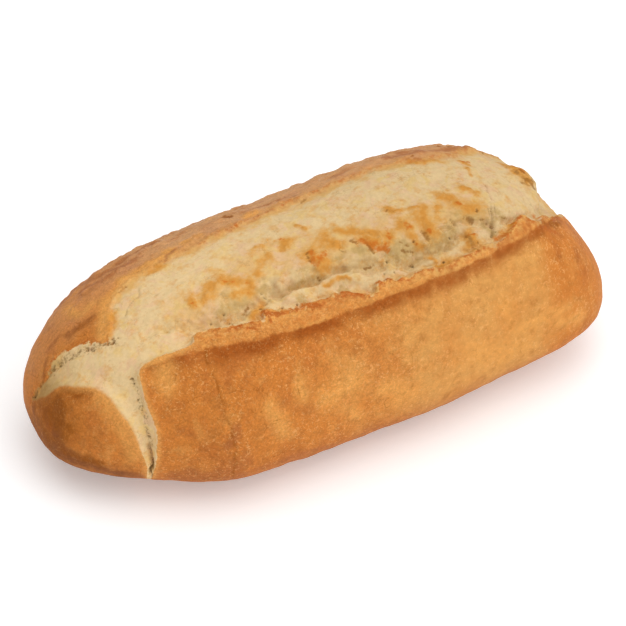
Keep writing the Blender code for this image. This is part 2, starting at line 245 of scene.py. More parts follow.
# Painted shade on the crumb, in and beside the crevices and at the band's tip.
PAINTED_SHADE_STROKES = (
    (2.2, (-21, -32, 83), (-20, -34, 82)),
    (1.8, (-3, -34, 83), (0, -36, 82)),
    (2.2, (-16, -20, 88), (-8, -22, 88)),
    (1.8, (71, -20, 91), (73, -24, 89)),
    (2.7, (28, -25, 91), (34, -28, 90)),
    (2.7, (71, -27, 88), (74, -31, 85)),
    (2.6, (-51, -18, 84), (-45, -20, 84)),
    (1.8, (-129, 4, 45), (-126, 4, 49), (-121, 4, 55)),
    (2.4, (60, -20, 93), (71, -22, 90), (81, -21, 88)),
    (3.6, (-55, -24, 82), (-47, -23, 83), (-40, -22, 84)),
    (2.7, (-39, -22, 85), (-34, -21, 86)),
    (1.4, (-34, -17, 86), (-32, -17, 86)),
    (2.4, (10, -21, 90), (16, -24, 90)),
    (3.6, (24, -26, 90), (30, -29, 89), (37, -28, 90)),
    (3.6, (43, -28, 90), (51, -28, 90), (54, -25, 91)),
    (1.6, (58, -22, 92), (65, -23, 91), (74, -25, 88), (83, -23, 87)),
    (1.2, (-8, -24, 87), (-15, -24, 87), (-23, -25, 86)),
    (1.8, (-2, -21, 89), (4, -20, 90)),
)

# Strokes of baked colour on the crust. Dark parts of the band under the crest.
CREST_BAKED = (
    (2.4, (-130, -5, 44), (-125, -11, 51), (-120, -18, 55)),
    (4.6, (-131, -7, 42), (-132, -11, 39), (-132, -16, 36)),
    (4.4, (-62, -41, 73), (-49, -43, 74), (-41, -43, 74)),
    (3.4, (-27, -43, 75), (-12, -44, 75)),
    (3.4, (6, -44, 77), (18, -44, 78)),
    (3.2, (25, -44, 78), (33, -45, 78)),
    (3.8, (39, -44, 78), (50, -44, 78)),
    (3.6, (55, -41, 80), (62, -41, 80)),
    (3.6, (69, -39, 80), (83, -35, 80)),
    (3.0, (88, -33, 80), (101, -27, 76)),
    (1.6, (-85, -33, 71), (-77, -36, 73)),
)
# Dark places at the nose and beside the far edge: baked colour, with painted shade low on the nose.
BAKED_AND_SHADED = (
    (1.8, (-113, 10, 62), (-107, 9, 66), (-102, 7, 70)),
    (1.4, (-123, 13, 53), (-119, 13, 56), (-116, 13, 60)),
    (1.1, (-126, 6, 49), (-125, 9, 51), (-122, 11, 54)),
    (3.6, (-134, 1, 35), (-134, -7, 32), (-133, -16, 31)),
    (3.6, (-127, -13, 47), (-128, -18, 44), (-131, -18, 38)),
    (2.7, (-130, -22, 29), (-125, -29, 28), (-118, -35, 27)),
    (2.2, (-100, 29, 67), (-90, 28, 71), (-81, 30, 74), (-73, 30, 75)),
    (5.0, (-133, 0, 38), (-129, -8, 45), (-127, -14, 47)),
    (5.5, (-132, -9, 40), (-129, -18, 41), (-128, -22, 40)),
    (2.2, (-125, -10, 51), (-117, -20, 56)),
    (7.0, (-135, 6, 23), (-134, -6, 23), (-132, -15, 21)),
    (5.0, (-130, -20, 20), (-120, -29, 14), (-108, -38, 14)),
    (1.8, (98, -26, 79), (103, -26, 76), (111, -21, 70)),
    (1.2, (-55, 23, 82), (-60, 20, 82), (-70, 16, 80)),
)
# Pale places round the cut across the left end.
LIGHTLY_BAKED = (
    (3.4, (-112, -31, 53), (-108, -39, 45), (-105, -43, 33)),
    (4.6, (-95, 11, 73), (-97, 3, 72), (-101, -3, 71), (-100, -9, 71)),
    (2.6, (-86, 8, 77), (-92, 1, 75)),
    (2.7, (-108, 26, 63), (-105, 15, 67), (-99, 15, 71)),
    (3.4, (-113, -28, 56), (-108, -34, 54), (-107, -38, 50)),
    (3.6, (-89, -36, 67), (-87, -41, 63)),
)
# Small scorched places on the far crust and the flap at the right end.
CRUST_MARKS = (
    (0.9, (104, 10, 78), (105, 6, 77)),
    (1.5, (105, 2, 78), (106, 1, 76), (108, -1, 75)),
    (1.3, (114, 21, 68), (115, 16, 68), (107, 1, 76)),
    (1.6, (-29, 33, 81), (-27, 30, 83)),
    (1.1, (3, 21, 90), (4, 21, 90)),
    (0.9, (-5, 28, 86), (-5, 26, 87)),
    (0.7, (24, 32, 88), (25, 30, 89)),
    (0.7, (60, 24, 92), (62, 25, 92)),
    (1.1, (78, 35, 85), (81, 31, 86)),
    (1.3, (83, 32, 85), (95, 37, 77)),
    (0.9, (99, 32, 77), (98, 24, 80)),
)
# Browner places of the near side: baked colour, and painted shade round its right end.
PANEL_DARK = (
    (2.6, (-4, -38, 81), (3, -38, 81)),
    (4.0, (112, -35, 61), (114, -42, 52)),
    (2.7, (119, -15, 63), (121, -30, 57)),
    (3.1, (-49, -61, 47), (-46, -62, 41)),
    (3.1, (-65, -60, 42), (-64, -61, 36)),
    (2.6, (100, -33, 74), (103, -39, 68)),
    (3.6, (121, -43, 25), (114, -46, 22)),
    (3.2, (-40, -58, 55), (-45, -59, 51)),
    (3.2, (-57, -45, 71), (-64, -49, 66)),
    (2.0, (84, -33, 81), (92, -29, 81), (100, -24, 78)),
    (2.4, (101, -29, 75), (106, -31, 70)),
    (1.8, (73, -37, 82), (82, -33, 82)),
    (3.1, (112, -49, 34), (116, -45, 23)),
    (6.3, (-76, -58, 37), (-66, -62, 27)),
    (2.7, (-75, -36, 73), (-69, -41, 72)),
    (2.7, (-56, -44, 72), (-52, -47, 71)),
    (0.7, (-26, -49, 70), (-23, -50, 68)),
    (1.4, (-70, -40, 72), (-72, -46, 67)),
    (3.4, (-34, -60, 49), (-28, -61, 43)),
    (2.2, (-86, -51, 48), (-82, -54, 47)),
)
# Paler places of the near side.
PANEL_LIGHT = (
    (4.5, (6, -60, 43), (19, -61, 36)),
    (3.0, (-38, -35, 80), (-33, -35, 81), (-26, -36, 81)),
    (4.0, (74, -54, 46), (86, -53, 47), (101, -50, 46)),
    (4.0, (69, -51, 62), (70, -53, 53)),
    (5.0, (97, -52, 41), (110, -50, 37)),
    (4.0, (-32, -57, 58), (-32, -59, 52)),
    (3.6, (-13, -61, 40), (-8, -61, 33)),
    (7.2, (-10, -59, 51), (-22, -60, 48)),
    (5.4, (15, -61, 38), (12, -61, 33)),
    (7.2, (49, -57, 46), (65, -55, 37), (78, -54, 36)),
    (4.0, (-85, -35, 70), (-86, -38, 67)),
    (4.5, (-48, -59, 53), (-43, -62, 39)),
)
# Dark places low on the nose and the near side: browner base crust, and painted shade where the crust turns
# down to the floor.
BASE_BROWN_AND_SHADE = (
    (2.2, (-134, 1, 34), (-135, -3, 28), (-135, -9, 24)),
    (3.2, (-130, -22, 28), (-127, -26, 24)),
    (2.2, (-111, -39, 23), (-103, -43, 21)),
    (3.8, (-128, -13, 46), (-129, -18, 42), (-131, -18, 34)),
    (4.0, (-132, -19, 30), (-125, -29, 27)),
    (5.6, (-84, -54, 25), (-72, -59, 23), (-62, -63, 30)),
    (3.1, (-69, -61, 39), (-64, -60, 47)),
    (5.0, (-134, -13, 28), (-130, -23, 27), (-122, -32, 25)),
    (3.4, (-122, -32, 24), (-114, -38, 21), (-104, -43, 18)),
    (5.0, (-91, -50, 20), (-78, -56, 18), (-64, -61, 19)),
    (2.0, (-59, -62, 22), (-40, -62, 21), (-21, -61, 19)),
)
# Pale crust beside the far edge.
PALE_CRUST = (
    (2.4, (-71, 18, 80), (-66, 19, 81), (-59, 21, 82)),
    (2.7, (-82, 15, 77), (-78, 18, 78)),
    (2.4, (-22, 24, 85), (-17, 25, 86)),
    (3.1, (-103, -5, 69), (-99, 0, 71), (-96, 5, 73), (-92, 10, 74), (-87, 14, 76)),
    (4.4, (-83, 18, 77), (-74, 19, 79), (-66, 19, 80), (-58, 22, 81)),
    (2.0, (-53, 24, 82), (-44, 25, 83)),
)
# Brown crust along the far side's skyline.
FAR_RIM = (
    (2.4, (71, 29, 89), (82, 29, 86), (93, 31, 81), (98, 31, 78)),
    (2.7, (50, 31, 90), (59, 29, 90), (66, 28, 90)),
    (2.4, (-108, 37, 55), (-103, 36, 60), (-98, 40, 60)),
    (2.7, (-98, 40, 60), (-93, 34, 67), (-86, 32, 71)),
    (1.8, (-79, 34, 72), (-68, 37, 73), (-58, 38, 75)),
    (1.4, (-20, 29, 84), (-12, 29, 85), (-3, 30, 86)),
    (2.2, (58, 33, 89), (72, 30, 88), (84, 28, 86), (96, 31, 79)),
)
# The middle of the crumb, where it browned a little.
WARM_CRUMB = (
    (-66, -16, 81), (-46, -12, 85), (-28, -8, 88), (0, -14, 91), (22, -17, 93), (44, -18, 94),
    (68, -16, 92),
)

# Rounded lumps, with their radius and rise: crumb over the crevice, the dome's end, a flap of crust.
LUMPS = (
    (-27, -24, 86, 3.8, 1.6),
    (-17, -23, 87, 3.6, 1.8),
    (-8, -22, 88, 3.0, 1.6),
    (-38, -24, 84, 2.8, 1.2),
    (2, -24, 89, 3.0, 1.2),
    (14, -26, 90, 3.2, 1.4),
    (26, -29, 90, 2.8, 1.2),
    (40, -29, 90, 2.6, 1.2),
    (78, -30, 86, 3.0, 1.4),
    (88, -28, 83, 2.6, 1.2),
    (64, -33, 86, 3.6, 1.6),
    (107, 7, 75, 9.0, 4.4),
    (106, -4, 77, 5.0, 1.4),
    (92, 29, 82, 4.0, 1.3),
    (86, 31, 84, 4.0, 1.0),
)

# The strokes whose edges the loose crumb and crust tear about, and those that keep smooth edges.
RAGGED_STROKES = {
    "golden": GOLDEN,
    "orange": ORANGE,
    "scorch_and_shade": SCORCHED_AND_SHADED,
    "painted_shade": PAINTED_SHADE_STROKES,
    "crust_marks": CRUST_MARKS,
    "baked": BAKED_AND_SHADED,
    "panel_dark": PANEL_DARK,
    "base_brown_and_shade": BASE_BROWN_AND_SHADE,
    "pale_crust": PALE_CRUST,
    "far_rim": FAR_RIM,
}
SMOOTH_STROKES = {"crest_baked": CREST_BAKED, "lightly_baked": LIGHTLY_BAKED, "panel_light": PANEL_LIGHT}

# How deep and wide each form is.
SHELF_DROP = 2.6 * MM
SHELF_WIDTH = 9.0 * MM
FAR_STEP = 0.8 * MM
FAR_STEP_WIDTH = 9.0 * MM
BAND_DROP = 2.2 * MM
BAND_WIDTH = 16.0 * MM
BAND_SLOPE = 7.0 * MM
END_DROP = 5.0 * MM
END_FACE = 4.0 * MM
END_REACH = 40.0 * MM
END_FADE = 10.0 * MM
TORN_EDGE = 1.4 * MM
CREST_RISE = 1.4 * MM
CREST_WIDTH = 4.5 * MM
LIP_RISE = 0.8 * MM
LIP_WIDTH = 4.0 * MM
CORNER_RISE = 1.4 * MM
CORNER_WIDTH = 9.0 * MM
CROSS_DEPTH = 4.2 * MM
CROSS_WIDTH = 1.0 * MM
CROSS_MARK = 1.1 * MM
CROSS_SHALLOW_SHARE = 0.2
CROSS_DEEPENS = 42.0 * MM
CROSS_DEEP = 30.0 * MM
BAND_CREVICE_DEPTH = 1.3 * MM
BAND_CREVICE_WIDTH = 1.4 * MM
BAND_MARK = 1.9 * MM
FLANK_BELOW = 1.6 * MM
FLANK_ABOVE = 2.5 * MM
WARM_WIDTH = 11.0 * MM
TOAST_RISE = 0.4 * MM
PIT_DEPTH = 1.0 * MM
CREST_ENDS = 112.0 * MM
CRUST_SWELL = 0.6 * MM
CRUST_SWELL_SPAN = 34.0 * MM
RELIEF_STARTS = 1.0 * MM
RELIEF_FULL = 9.0 * MM

# Where a form starts and where it is full, along X, Y or Z.
UPPER_CRUST = (16.0 * MM, 40.0 * MM)
FLAP_STARTS = (70.0 * MM, 80.0 * MM)
FOOT_ROUGHENS = (22.0 * MM, 8.0 * MM)
FAR_ROUGHENS = (0.0, 15.0 * MM)
NOSE_SMOOTH = (-122.0 * MM, -95.0 * MM)

# How wide the calm rims, the rough ledge and the smooth end reach.
CALM_NOSE = 9.0 * MM
CALM_PANEL = 7.0 * MM
LEDGE_ROUGH = 7.0 * MM
SMOOTH_END = 12.0 * MM

# How edges wander: span, reach and seed. The torn edge's have a share that calm rims take away.
LOOSE_WANDER = (9.0 * MM, 1.5 * MM, 0.85, 4)
FINE_WANDER = (2.6 * MM, 0.9 * MM, 0.8, 5)
CROSS_WANDER = (3.0 * MM, 1.3 * MM, 13)
PIT_WANDER = (1.5 * MM, 0.9 * MM, 12)
CRACK_WANDER = (4.0 * MM, 1.0 * MM, 10)
PIT_SPAN = 1.7 * MM

# Relief of the crumb in millimetres: rise, more rise where it is wild, span, seed and octaves.
CRUMB_LUMPS = ((0.55, 0.8, 11.0, 1, 2), (0.22, 0.6, 4.5, 2, 3), (0.07, 0.18, 1.4, 7, 2))
CRUMB_NODULES = (0.08, 0.45, 3.4, 6)
# Relief of the crust: rise, more rise where it is rough, share along X, span, seed and octaves.
CRUST_LUMPS = ((0.2, 0.35, 0.6, 6.0, 8, 3), (0.0, 0.6, 0.7, 15.0, 16, 2), (0.05, 0.14, 1.0, 1.6, 9, 2))
FLAKE_RISE = 0.6 * MM
FLAKE_SPAN = 5.0 * MM
FOOT_RISE = 0.5 * MM
FOOT_SPAN = 7.0 * MM

# The mesh.
SEGMENTS_ALONG = 230
SEGMENTS_ACROSS = 116
SEGMENTS_UP = 76
LINE_STEP = 0.8 * MM
SEARCH_STEPS = 20
SEARCH_SHARE = 0.7
REFINED_RIM = 5.0 * MM
REFINED_CRACK = 2.0 * MM
MOST_TRIANGLES = 196000
LUMP_SHIFT = Vector((17.3, 5.1, 9.7))
BODY_SCALE = np.array((HALF_LENGTH, HALF_WIDTH, CROWN_ABOVE_BELT))
DOWN_THE_NEAR_SIDE = np.array((0.0, -0.75, -0.66))
OUT_OF_THE_END = np.array((0.8, 0.0, -0.6))

# The finish that isn't colour.
CRUST_ROUGHNESS = 0.62
CRUMB_ROUGHNESS = 0.9
GRAIN_STRENGTH = 0.4
GRAIN_HEIGHT = 0.3 * MM
SHEEN = 0.07

# The studio: lamps with their place, side and power, and the camera.
SOFTBOXES = {
    "overhead_softbox": ((0.1, 0.0, 1.4), 1.8, 14.0),
    "front_softbox": ((0.6, -1.2, 0.9), 1.4, 8.5),
}
LAMPS_AIM = (0.0, 0.0, 0.04)
ROOM_LIGHT = 0.44
FLOOR_GLOW = 0.22
FLOOR_ROUGHNESS = 0.9
CAMERA_LENS = 150
CAMERA_SENSOR = 36
CAMERA_TARGET = Vector((0.0, 1.17 * MM, 39.2 * MM))


def curve_through(points, where):
    """Catmull-Rom through points, read at where, counted in points from 0."""
    points = np.asarray(points, float)
    last = len(points) - 1
    start = np.clip(np.floor(where).astype(int), 0, last - 1)
    t = where - start
    padded = np.concatenate(([2 * points[0] - points[1]], points, [2 * points[-1] - points[-2]]))
    before, first, second, after = (padded[start + step] for step in range(4))
    if points.ndim == 2:
        t = t[:, None]
    bend = 3 * (first - second) + after - before
    curve = 2 * before - 5 * first + 4 * second - after
    return first + 0.5 * t * (second - before + t * (curve + t * bend))


def along(shares, x):
    """A share that varies smoothly over the loaf's length."""
    stations = len(shares) - 1
    where = (np.clip(x / HALF_LENGTH, -1, 1) + 1) * stations / 2
    return 1 + curve_through(shares, where)


def body(directions):
    """Points of the plain body in the given unit directions."""
    up = directions[:, 2]
    power = np.where(up > 0, CROWN_POWER, FOOT_POWER)
    plan = np.abs(directions[:, 0]) ** PLAN_POWER + np.abs(directions[:, 1]) ** PLAN_POWER
    reach = (plan ** (power / PLAN_POWER) + np.abs(up) ** power) ** (-1 / power)
    x = HALF_LENGTH * directions[:, 0] * reach
    y = HALF_WIDTH * directions[:, 1] * reach
    y = y * np.where(y < 0, along(NEAR_SIDE_SHARES, x), along(FAR_SIDE_SHARES, x))
    z = up * reach * np.where(up > 0, CROWN_ABOVE_BELT, BELT_HEIGHT + PRESSED_FLAT)
    z = np.maximum(z + BELT_HEIGHT, 0) * along(HEIGHT_SHARES, x)
    return np.stack((x, y, z), axis=1)


def unit(vectors):
    return vectors / np.linalg.norm(vectors, axis=1, keepdims=True)


def directions_towards(places):
    """Unit directions in which the body passes nearest to the places."""
    directions = unit((places - np.array((0, 0, BELT_HEIGHT))) / BODY_SCALE)
    for _ in range(SEARCH_STEPS):
        directions = unit(directions + SEARCH_SHARE * (places - body(directions)) / BODY_SCALE)
    return directions


def line_on_body(points):
    """Directions of closely spaced points on the smooth line through points in millimetres."""
    points = np.array(points) * MM
    length = np.linalg.norm(np.diff(points, axis=0), axis=1).sum()
    count = max(int(length / LINE_STEP), 2)
    return directions_towards(curve_through(points, np.linspace(0, len(points) - 1, count)))


def offsets(places, line):
    """The way from the nearest point of a line to each place."""
    tree = kdtree.KDTree(len(line))
    for number, point in enumerate(line):
        tree.insert(point, number)
    tree.balance()
    nearest = np.array([tree.find(place)[1] for place in places])
    return places - line[nearest]


def nearest_way(places, points, reach):
    """The way from the line through points to each place within reach of it, and which these are."""
    line = body(line_on_body(points))
    low, high = line.min(axis=0) - reach, line.max(axis=0) + reach
    near = np.flatnonzero(((places > low) & (places < high)).all(axis=1))
    return offsets(places[near], line), near


def groove(places, points, width):
    """1 along a line, falling off smoothly over width."""
    way, near = nearest_way(places, points, 3 * width)
    covered = np.zeros(len(places))
    covered[near] = fall(np.linalg.norm(way, axis=1), width)
    return covered


def fall(length, width):
    """1 at no length, falling off smoothly over width."""
    return np.exp(-((length / width) ** 2))


def crevice(places, points, below, above):
    """1 along a crevice, falling off over one width down the near side and another up it."""
    way, near = nearest_way(places, points, 3 * max(below, above))
    width = np.where(way @ DOWN_THE_NEAR_SIDE > 0, below, above)
    covered = np.zeros(len(places))
    covered[near] = fall(np.linalg.norm(way, axis=1), width)
    return covered


def strokes(places, drawn):
    """The most that any stroke, each with its radius in millimetres, covers a place."""
    covered = np.zeros(len(places))
    for radius, *points in drawn:
        covered = np.maximum(covered, groove(places, points, radius * MM))
    return covered


def lump_heights(places):
    """Height of the rounded lumps."""
    height = np.zeros(len(places))
    for x, y, z, radius, rise in LUMPS:
        middle = body(directions_towards(np.array(((x, y, z),)) * MM))
        away = np.linalg.norm(places - middle, axis=1)
        height = np.maximum(height, rise * MM * fall(away, radius * MM))
    return height


def flattened(directions):
    """Directions drawn on a plane, with straight down at infinity."""
    return directions[:, :2] / (1 + 1e-6 + directions[:, 2:3])


def inside(directions, outline):
    """Whether each direction lies within a closed outline of directions."""
    places = flattened(directions)
    corners = flattened(outline)
    found = np.zeros(len(places), bool)
    for start, end in zip(corners, np.roll(corners, -1, axis=0)):
        crosses = (start[1] > places[:, 1]) != (end[1] > places[:, 1])
        rise = end[1] - start[1]
        if rise == 0:
            continue
        x = start[0] + (places[:, 1] - start[1]) * (end[0] - start[0]) / rise
        found ^= crosses & (places[:, 0] < x)
    return found


def ramp(value, start, end):
    """0 before start, 1 after end, and smooth between them."""
    t = np.clip((value - start) / (end - start), 0, 1)
    return t * t * (3 - 2 * t)


def lumps(places, span, seed, octaves=1):
    """Rounded random relief from about -1 to 1, with lumps about one span apart."""
    shift = seed * LUMP_SHIFT
    if octaves == 1:
        return np.array([noise.noise(Vector(place) / span + shift) for place in places])
    return np.array([noise.fractal(Vector(place) / span + shift, 1.0, 2.0, octaves) for place in places])


def nodules(places, span, seed):
    """Round nodules about one span apart: 1 at their tops and about 0 between them."""
    shift = seed * LUMP_SHIFT
    nearest = [noise.voronoi(Vector(place) / span + shift)[0][0] for place in places]
    return 1 - 2 * np.array(nearest)


def wandering(places, span, reach, seed):
    """Places moved about at random by up to reach, so that lines through them turn ragged."""
    shift = seed * LUMP_SHIFT
    noise.seed_set(seed)  # vector noise would otherwise start from the clock
    moves = np.array([noise.noise_vector(Vector(place) / span + shift)[:] for place in places])
    return places + np.asarray(reach).reshape(-1, 1) * moves


def pits(places, chance, span, seed):
    """1 in the middle of small round pits, one for each span, where chance is high enough."""
    shift = seed * LUMP_SHIFT
    depth = np.zeros(len(places))
    for number in np.flatnonzero(chance > 0.02):
        nearest, centres = noise.voronoi(Vector(places[number]) / span + shift)
        if 0.5 + 0.5 * noise.cell(centres[0] * 7.3) < chance[number]:
            depth[number] = ramp(nearest[0], 0.5, 0.2)
    return depth


def tear_outline():
    """Directions round the torn opening in the crust."""
    outline = (TIP, *BAND_EDGE, *FAR_EDGE, *RIGHT_END, *LEDGE, *PANEL_EDGE, CUT_FOOT, *NOSE_EDGE, TIP)
    return line_on_body(outline)


def depth_in_tear(places, directions):
    """How far each place is inside the tear, or outside it where negative."""
    outline = tear_outline()
    away = np.linalg.norm(offsets(places, body(outline)), axis=1)
    return np.where(inside(directions, outline), away, -away)


def below_crest(places):
    """How far each place is down the near side from the crest, or behind it where negative."""
    way = offsets(places, body(line_on_body(CREST)))
    return np.sign(way @ DOWN_THE_NEAR_SIDE) * np.linalg.norm(way, axis=1)


def beyond_dome(places):
    """0 on the swollen crumb, and 1 past the steep face at its right end."""
    way, near = nearest_way(places, DOME_END, END_REACH)
    past = np.zeros(len(places))
    past[near] = ramp(way @ OUT_OF_THE_END, 0, END_FACE)
    return past


def cube_of_grids():
    """A cube from -1 to 1 whose six sides are grids that share their edges."""
    quarter = math.radians(90)
    sides = []
    for sign in (-1, 1):
        sides.append(((0, 0, sign), Matrix.Identity(4), SEGMENTS_ALONG, SEGMENTS_ACROSS))
        sides.append(((0, sign, 0), Matrix.Rotation(quarter, 4, "X"), SEGMENTS_ALONG, SEGMENTS_UP))
        sides.append(((sign, 0, 0), Matrix.Rotation(quarter, 4, "Y"), SEGMENTS_UP, SEGMENTS_ACROSS))
    mesh = bmesh.new()
    for place, turn, wide, high in sides:
        matrix = Matrix.Translation(place) @ turn
        bmesh.ops.create_grid(mesh, x_segments=wide, y_segments=high, size=1, matrix=matrix)
    bmesh.ops.remove_doubles(mesh, verts=mesh.verts, dist=1e-5)
    bmesh.ops.recalc_face_normals(mesh, faces=mesh.faces)
    return mesh


def refine_torn_faces(grid):
    """Halve the spacing where the crust is torn or cracked."""
    directions = unit(np.array([vertex.co[:] for vertex in grid.verts]))
    places = body(directions)
    wanted = depth_in_tear(places, directions) > -REFINED_RIM
    for _, _, *points in CRACKS:
        wanted |= groove(places, points, REFINED_CRACK) > 0.1
    edges = [edge for edge in grid.edges if wanted[edge.verts[0].index] and wanted[edge.verts[1].index]]
    bmesh.ops.subdivide_edges(grid, edges=edges, cuts=1, use_grid_fill=True)


def cross_crevice(places, width):
    """1 along the crevice across the left end, which wanders from side to side."""
    return groove(wandering(places, *CROSS_WANDER), CROSS_CREVICE, width)


def crumb_forms(places, depth):
    """Height of the torn crumb's large forms above the plain body."""
    height = -SHELF_DROP * groove(places, LEDGE, SHELF_WIDTH)
    height -= FAR_STEP * groove(places, FAR_EDGE, FAR_STEP_WIDTH)
    height -= BAND_DROP * groove(places, NOSE_EDGE, BAND_WIDTH) * ramp(depth, 0, BAND_SLOPE)
    cut = np.zeros(len(places))
    for deep, below, above, *points in CREVICES:
        cut = np.maximum(cut, deep * MM * crevice(places, points, below * MM, above * MM))
    height -= cut
    deepening = ramp(places[:, 2], CROSS_DEEPENS, CROSS_DEEP)
    share = CROSS_SHALLOW_SHARE + (1 - CROSS_SHALLOW_SHARE) * deepening
    height -= CROSS_DEPTH * share * cross_crevice(places, CROSS_WIDTH)
    height -= BAND_CREVICE_DEPTH * groove(places, BAND_CREVICE, BAND_CREVICE_WIDTH)
    beyond = beyond_dome(places)
    height += (1 - beyond) * lump_heights(places) - END_DROP * beyond * ramp(depth, 0, END_FADE)
    return height * ramp(depth, 0, TORN_EDGE)


def crumb_roughness(places, wild):
    """Crags, nodules and wrinkles of torn crumb. They are strongest where wild is 1."""
    height = np.zeros(len(places))
    for rise, wild_rise, span, seed, octaves in CRUMB_LUMPS:
        height += (rise + wild_rise * wild) * MM * lumps(places, span * MM, seed, octaves)
    rise, wild_rise, span, seed = CRUMB_NODULES
    return height + (rise + wild_rise * wild) * MM * nodules(places, span * MM, seed)


def crust_forms(places):
    """Height of the crust's large forms above the plain body."""
    upper = ramp(places[:, 2], *UPPER_CRUST)
    x = places[:, 0]
    height = CREST_RISE * groove(places, CREST, CREST_WIDTH) * ramp(x, CREST_ENDS, 0.75 * CREST_ENDS)
    height += lump_heights(places) * ramp(x, *FLAP_STARTS)
    ending = ramp(x, CREST_ENDS, 0.85 * CREST_ENDS)
    height += LIP_RISE * upper * ending * groove(places, (*LEDGE, *PANEL_EDGE), LIP_WIDTH)
    height += CORNER_RISE * upper * groove(places, PANEL_EDGE, CORNER_WIDTH)
    height += CRUST_SWELL * lumps(places, CRUST_SWELL_SPAN, 3)
    return height


def crust_roughness(places, rough):
    """Blisters and grain of baked crust, coarser where rough is 1."""
    height = np.zeros(len(places))
    for rise, rough_rise, stretch, span, seed, octaves in CRUST_LUMPS:
        height += (rise + rough_rise * rough) * MM * lumps(places * (stretch, 1, 1), span * MM, seed, octaves)
    flakes = ramp(lumps(places * (0.5, 1, 1), FLAKE_SPAN, 15, 2), 0.1, 0.5)
    foot = ramp(places[:, 2], *FOOT_ROUGHENS) * lumps(places, FOOT_SPAN, 14, 2)
    return height + FLAKE_RISE * rough * flakes + FOOT_RISE * foot


def crack_cuts(places):
    """How deep the thin cracks are, and how far each place lies in one, from 0 to 1."""
    deep = np.zeros(len(places))
    cracked = np.zeros(len(places))
    for depth, width, *points in CRACKS:
        cut = groove(places, points, width * MM)
        deep += depth * MM * cut
        cracked = np.maximum(cracked, cut)
    return deep, cracked


def flank(places):
    """1 low on the dome's side above the main crevice, falling off up it. The crumb's colour paints shade
    there.
    """
    covered = np.zeros(len(places))
    for depth, _, above, *points in CREVICES[:-1]:
        share = min(1.0, 0.25 + 0.18 * depth)
        covered = np.maximum(covered, share * crevice(places, points, FLANK_BELOW, FLANK_ABOVE + above * MM))
    return covered


def loosened(places, calm):
    """The places moved about, least where the torn edge is calm."""
    span, reach, kept, seed = LOOSE_WANDER
    loose = wandering(places, span, (1 - kept * calm) * reach, seed)
    span, reach, kept, seed = FINE_WANDER
    return wandering(loose, span, (1 - kept * calm) * reach, seed)


def pitted_places(places, torn, wild, marks):
    """How far each place lies in a pit. Pits crowd along the band's crevice and the cross crevice."""
    crowded = np.maximum(0.7 * marks["band"], 0.5 * marks["cross"])
    chance = np.where(torn, np.clip(0.04 * wild + crowded, 0, 1), 0)
    return pits(wandering(places, *PIT_WANDER), chance, PIT_SPAN, 11)


def torn_surface(places, directions):
    """Heights above the plain body, and the marks that the finish reads."""
    calm = np.maximum(groove(places, NOSE_EDGE, CALM_NOSE), groove(places, PANEL_EDGE, CALM_PANEL))
    loose = loosened(places, calm)
    depth = depth_in_tear(loose, unit(directions + (loose - places) / BODY_SCALE))
    torn = depth > 0
    marks = {name: strokes(loose, drawn) for name, drawn in RAGGED_STROKES.items()}
    marks.update({name: strokes(places, drawn) for name, drawn in SMOOTH_STROKES.items()})
    marks["flank"] = flank(loose)
    marks["cross"] = cross_crevice(places, CROSS_MARK)
    marks["band"] = groove(places, BAND_CREVICE, BAND_MARK)
    ledge = groove(places, LEDGE, LEDGE_ROUGH)
    wild = np.clip(marks["flank"] + 0.9 * ledge + 0.6 * marks["golden"], 0, 1)
    wild *= 1 - 0.8 * groove(places, DOME_END, SMOOTH_END)
    pitted = pitted_places(places, torn, wild, marks)
    deep, cracked = crack_cuts(wandering(places, *CRACK_WANDER))

    form = np.where(torn, crumb_forms(loose, depth), 0)
    form += np.where(torn, fall(depth, TORN_EDGE), 1) * crust_forms(places)
    far = ramp(places[:, 1], *FAR_ROUGHENS) * ramp(places[:, 0], *NOSE_SMOOTH)
    rough = np.maximum(far, 0.42 * ledge)
    fine = np.zeros(len(places))
    fine[torn] = ramp(depth, 0, TORN_EDGE)[torn] * crumb_roughness(places[torn], wild[torn])
    fine[~torn] = crust_roughness(places[~torn], rough[~torn])
    fine += TOAST_RISE * marks["golden"] - PIT_DEPTH * np.maximum(pitted, 0.5 * marks["scorch_and_shade"]) - deep
    marks.update({"pitted": pitted, "cracked": cracked, "calm": calm, "proud": fine / MM})
    marks["scorch_and_shade"] = np.maximum(marks["scorch_and_shade"], marks.pop("crust_marks"))
    marks["crevice"] = np.maximum(marks.pop("cross"), marks.pop("band"))
    marks["warmth"] = groove(places, WARM_CRUMB, WARM_WIDTH)
    marks["tear_depth"] = np.clip(depth / MM, -20, 20)
    marks["below_crest"] = np.clip(below_crest(places) / MM, -30, 30)
    return (form + fine) * ramp(places[:, 2], RELIEF_STARTS, RELIEF_FULL), marks


def seated(places):
    """The places moved so that their box stands in the middle of the solid's box."""
    low, high = places.min(axis=0), places.max(axis=0)
    wanted = (np.array(LOAF_LOW) + np.array(LOAF_HIGH)) / 2
    shift = wanted - (low + high) / 2
    shift[2] = LOAF_LOW[2] - low[2]
    return places + shift


def loaf_mesh():
    grid = cube_of_grids()
    refine_torn_faces(grid)
    mesh = bpy.data.meshes.new("crusty_loaf")
    grid.to_mesh(mesh)
    grid.free()
    directions = unit(np.array([vertex.co[:] for vertex in mesh.vertices]))
    places = body(directions)
    mesh.vertices.foreach_set("co", places.ravel())
    mesh.update()
    normals = np.array([vertex.normal[:] for vertex in mesh.vertices])
    height, marks = torn_surface(places, directions)
    places = places + normals * height[:, None]
    mesh.vertices.foreach_set("co", seated(places).ravel())
    for name, values in marks.items():
        mesh.attributes.new(name, "FLOAT", "POINT").data.foreach_set("value", values)
    mesh.update()
    mesh.shade_smooth()
    return mesh


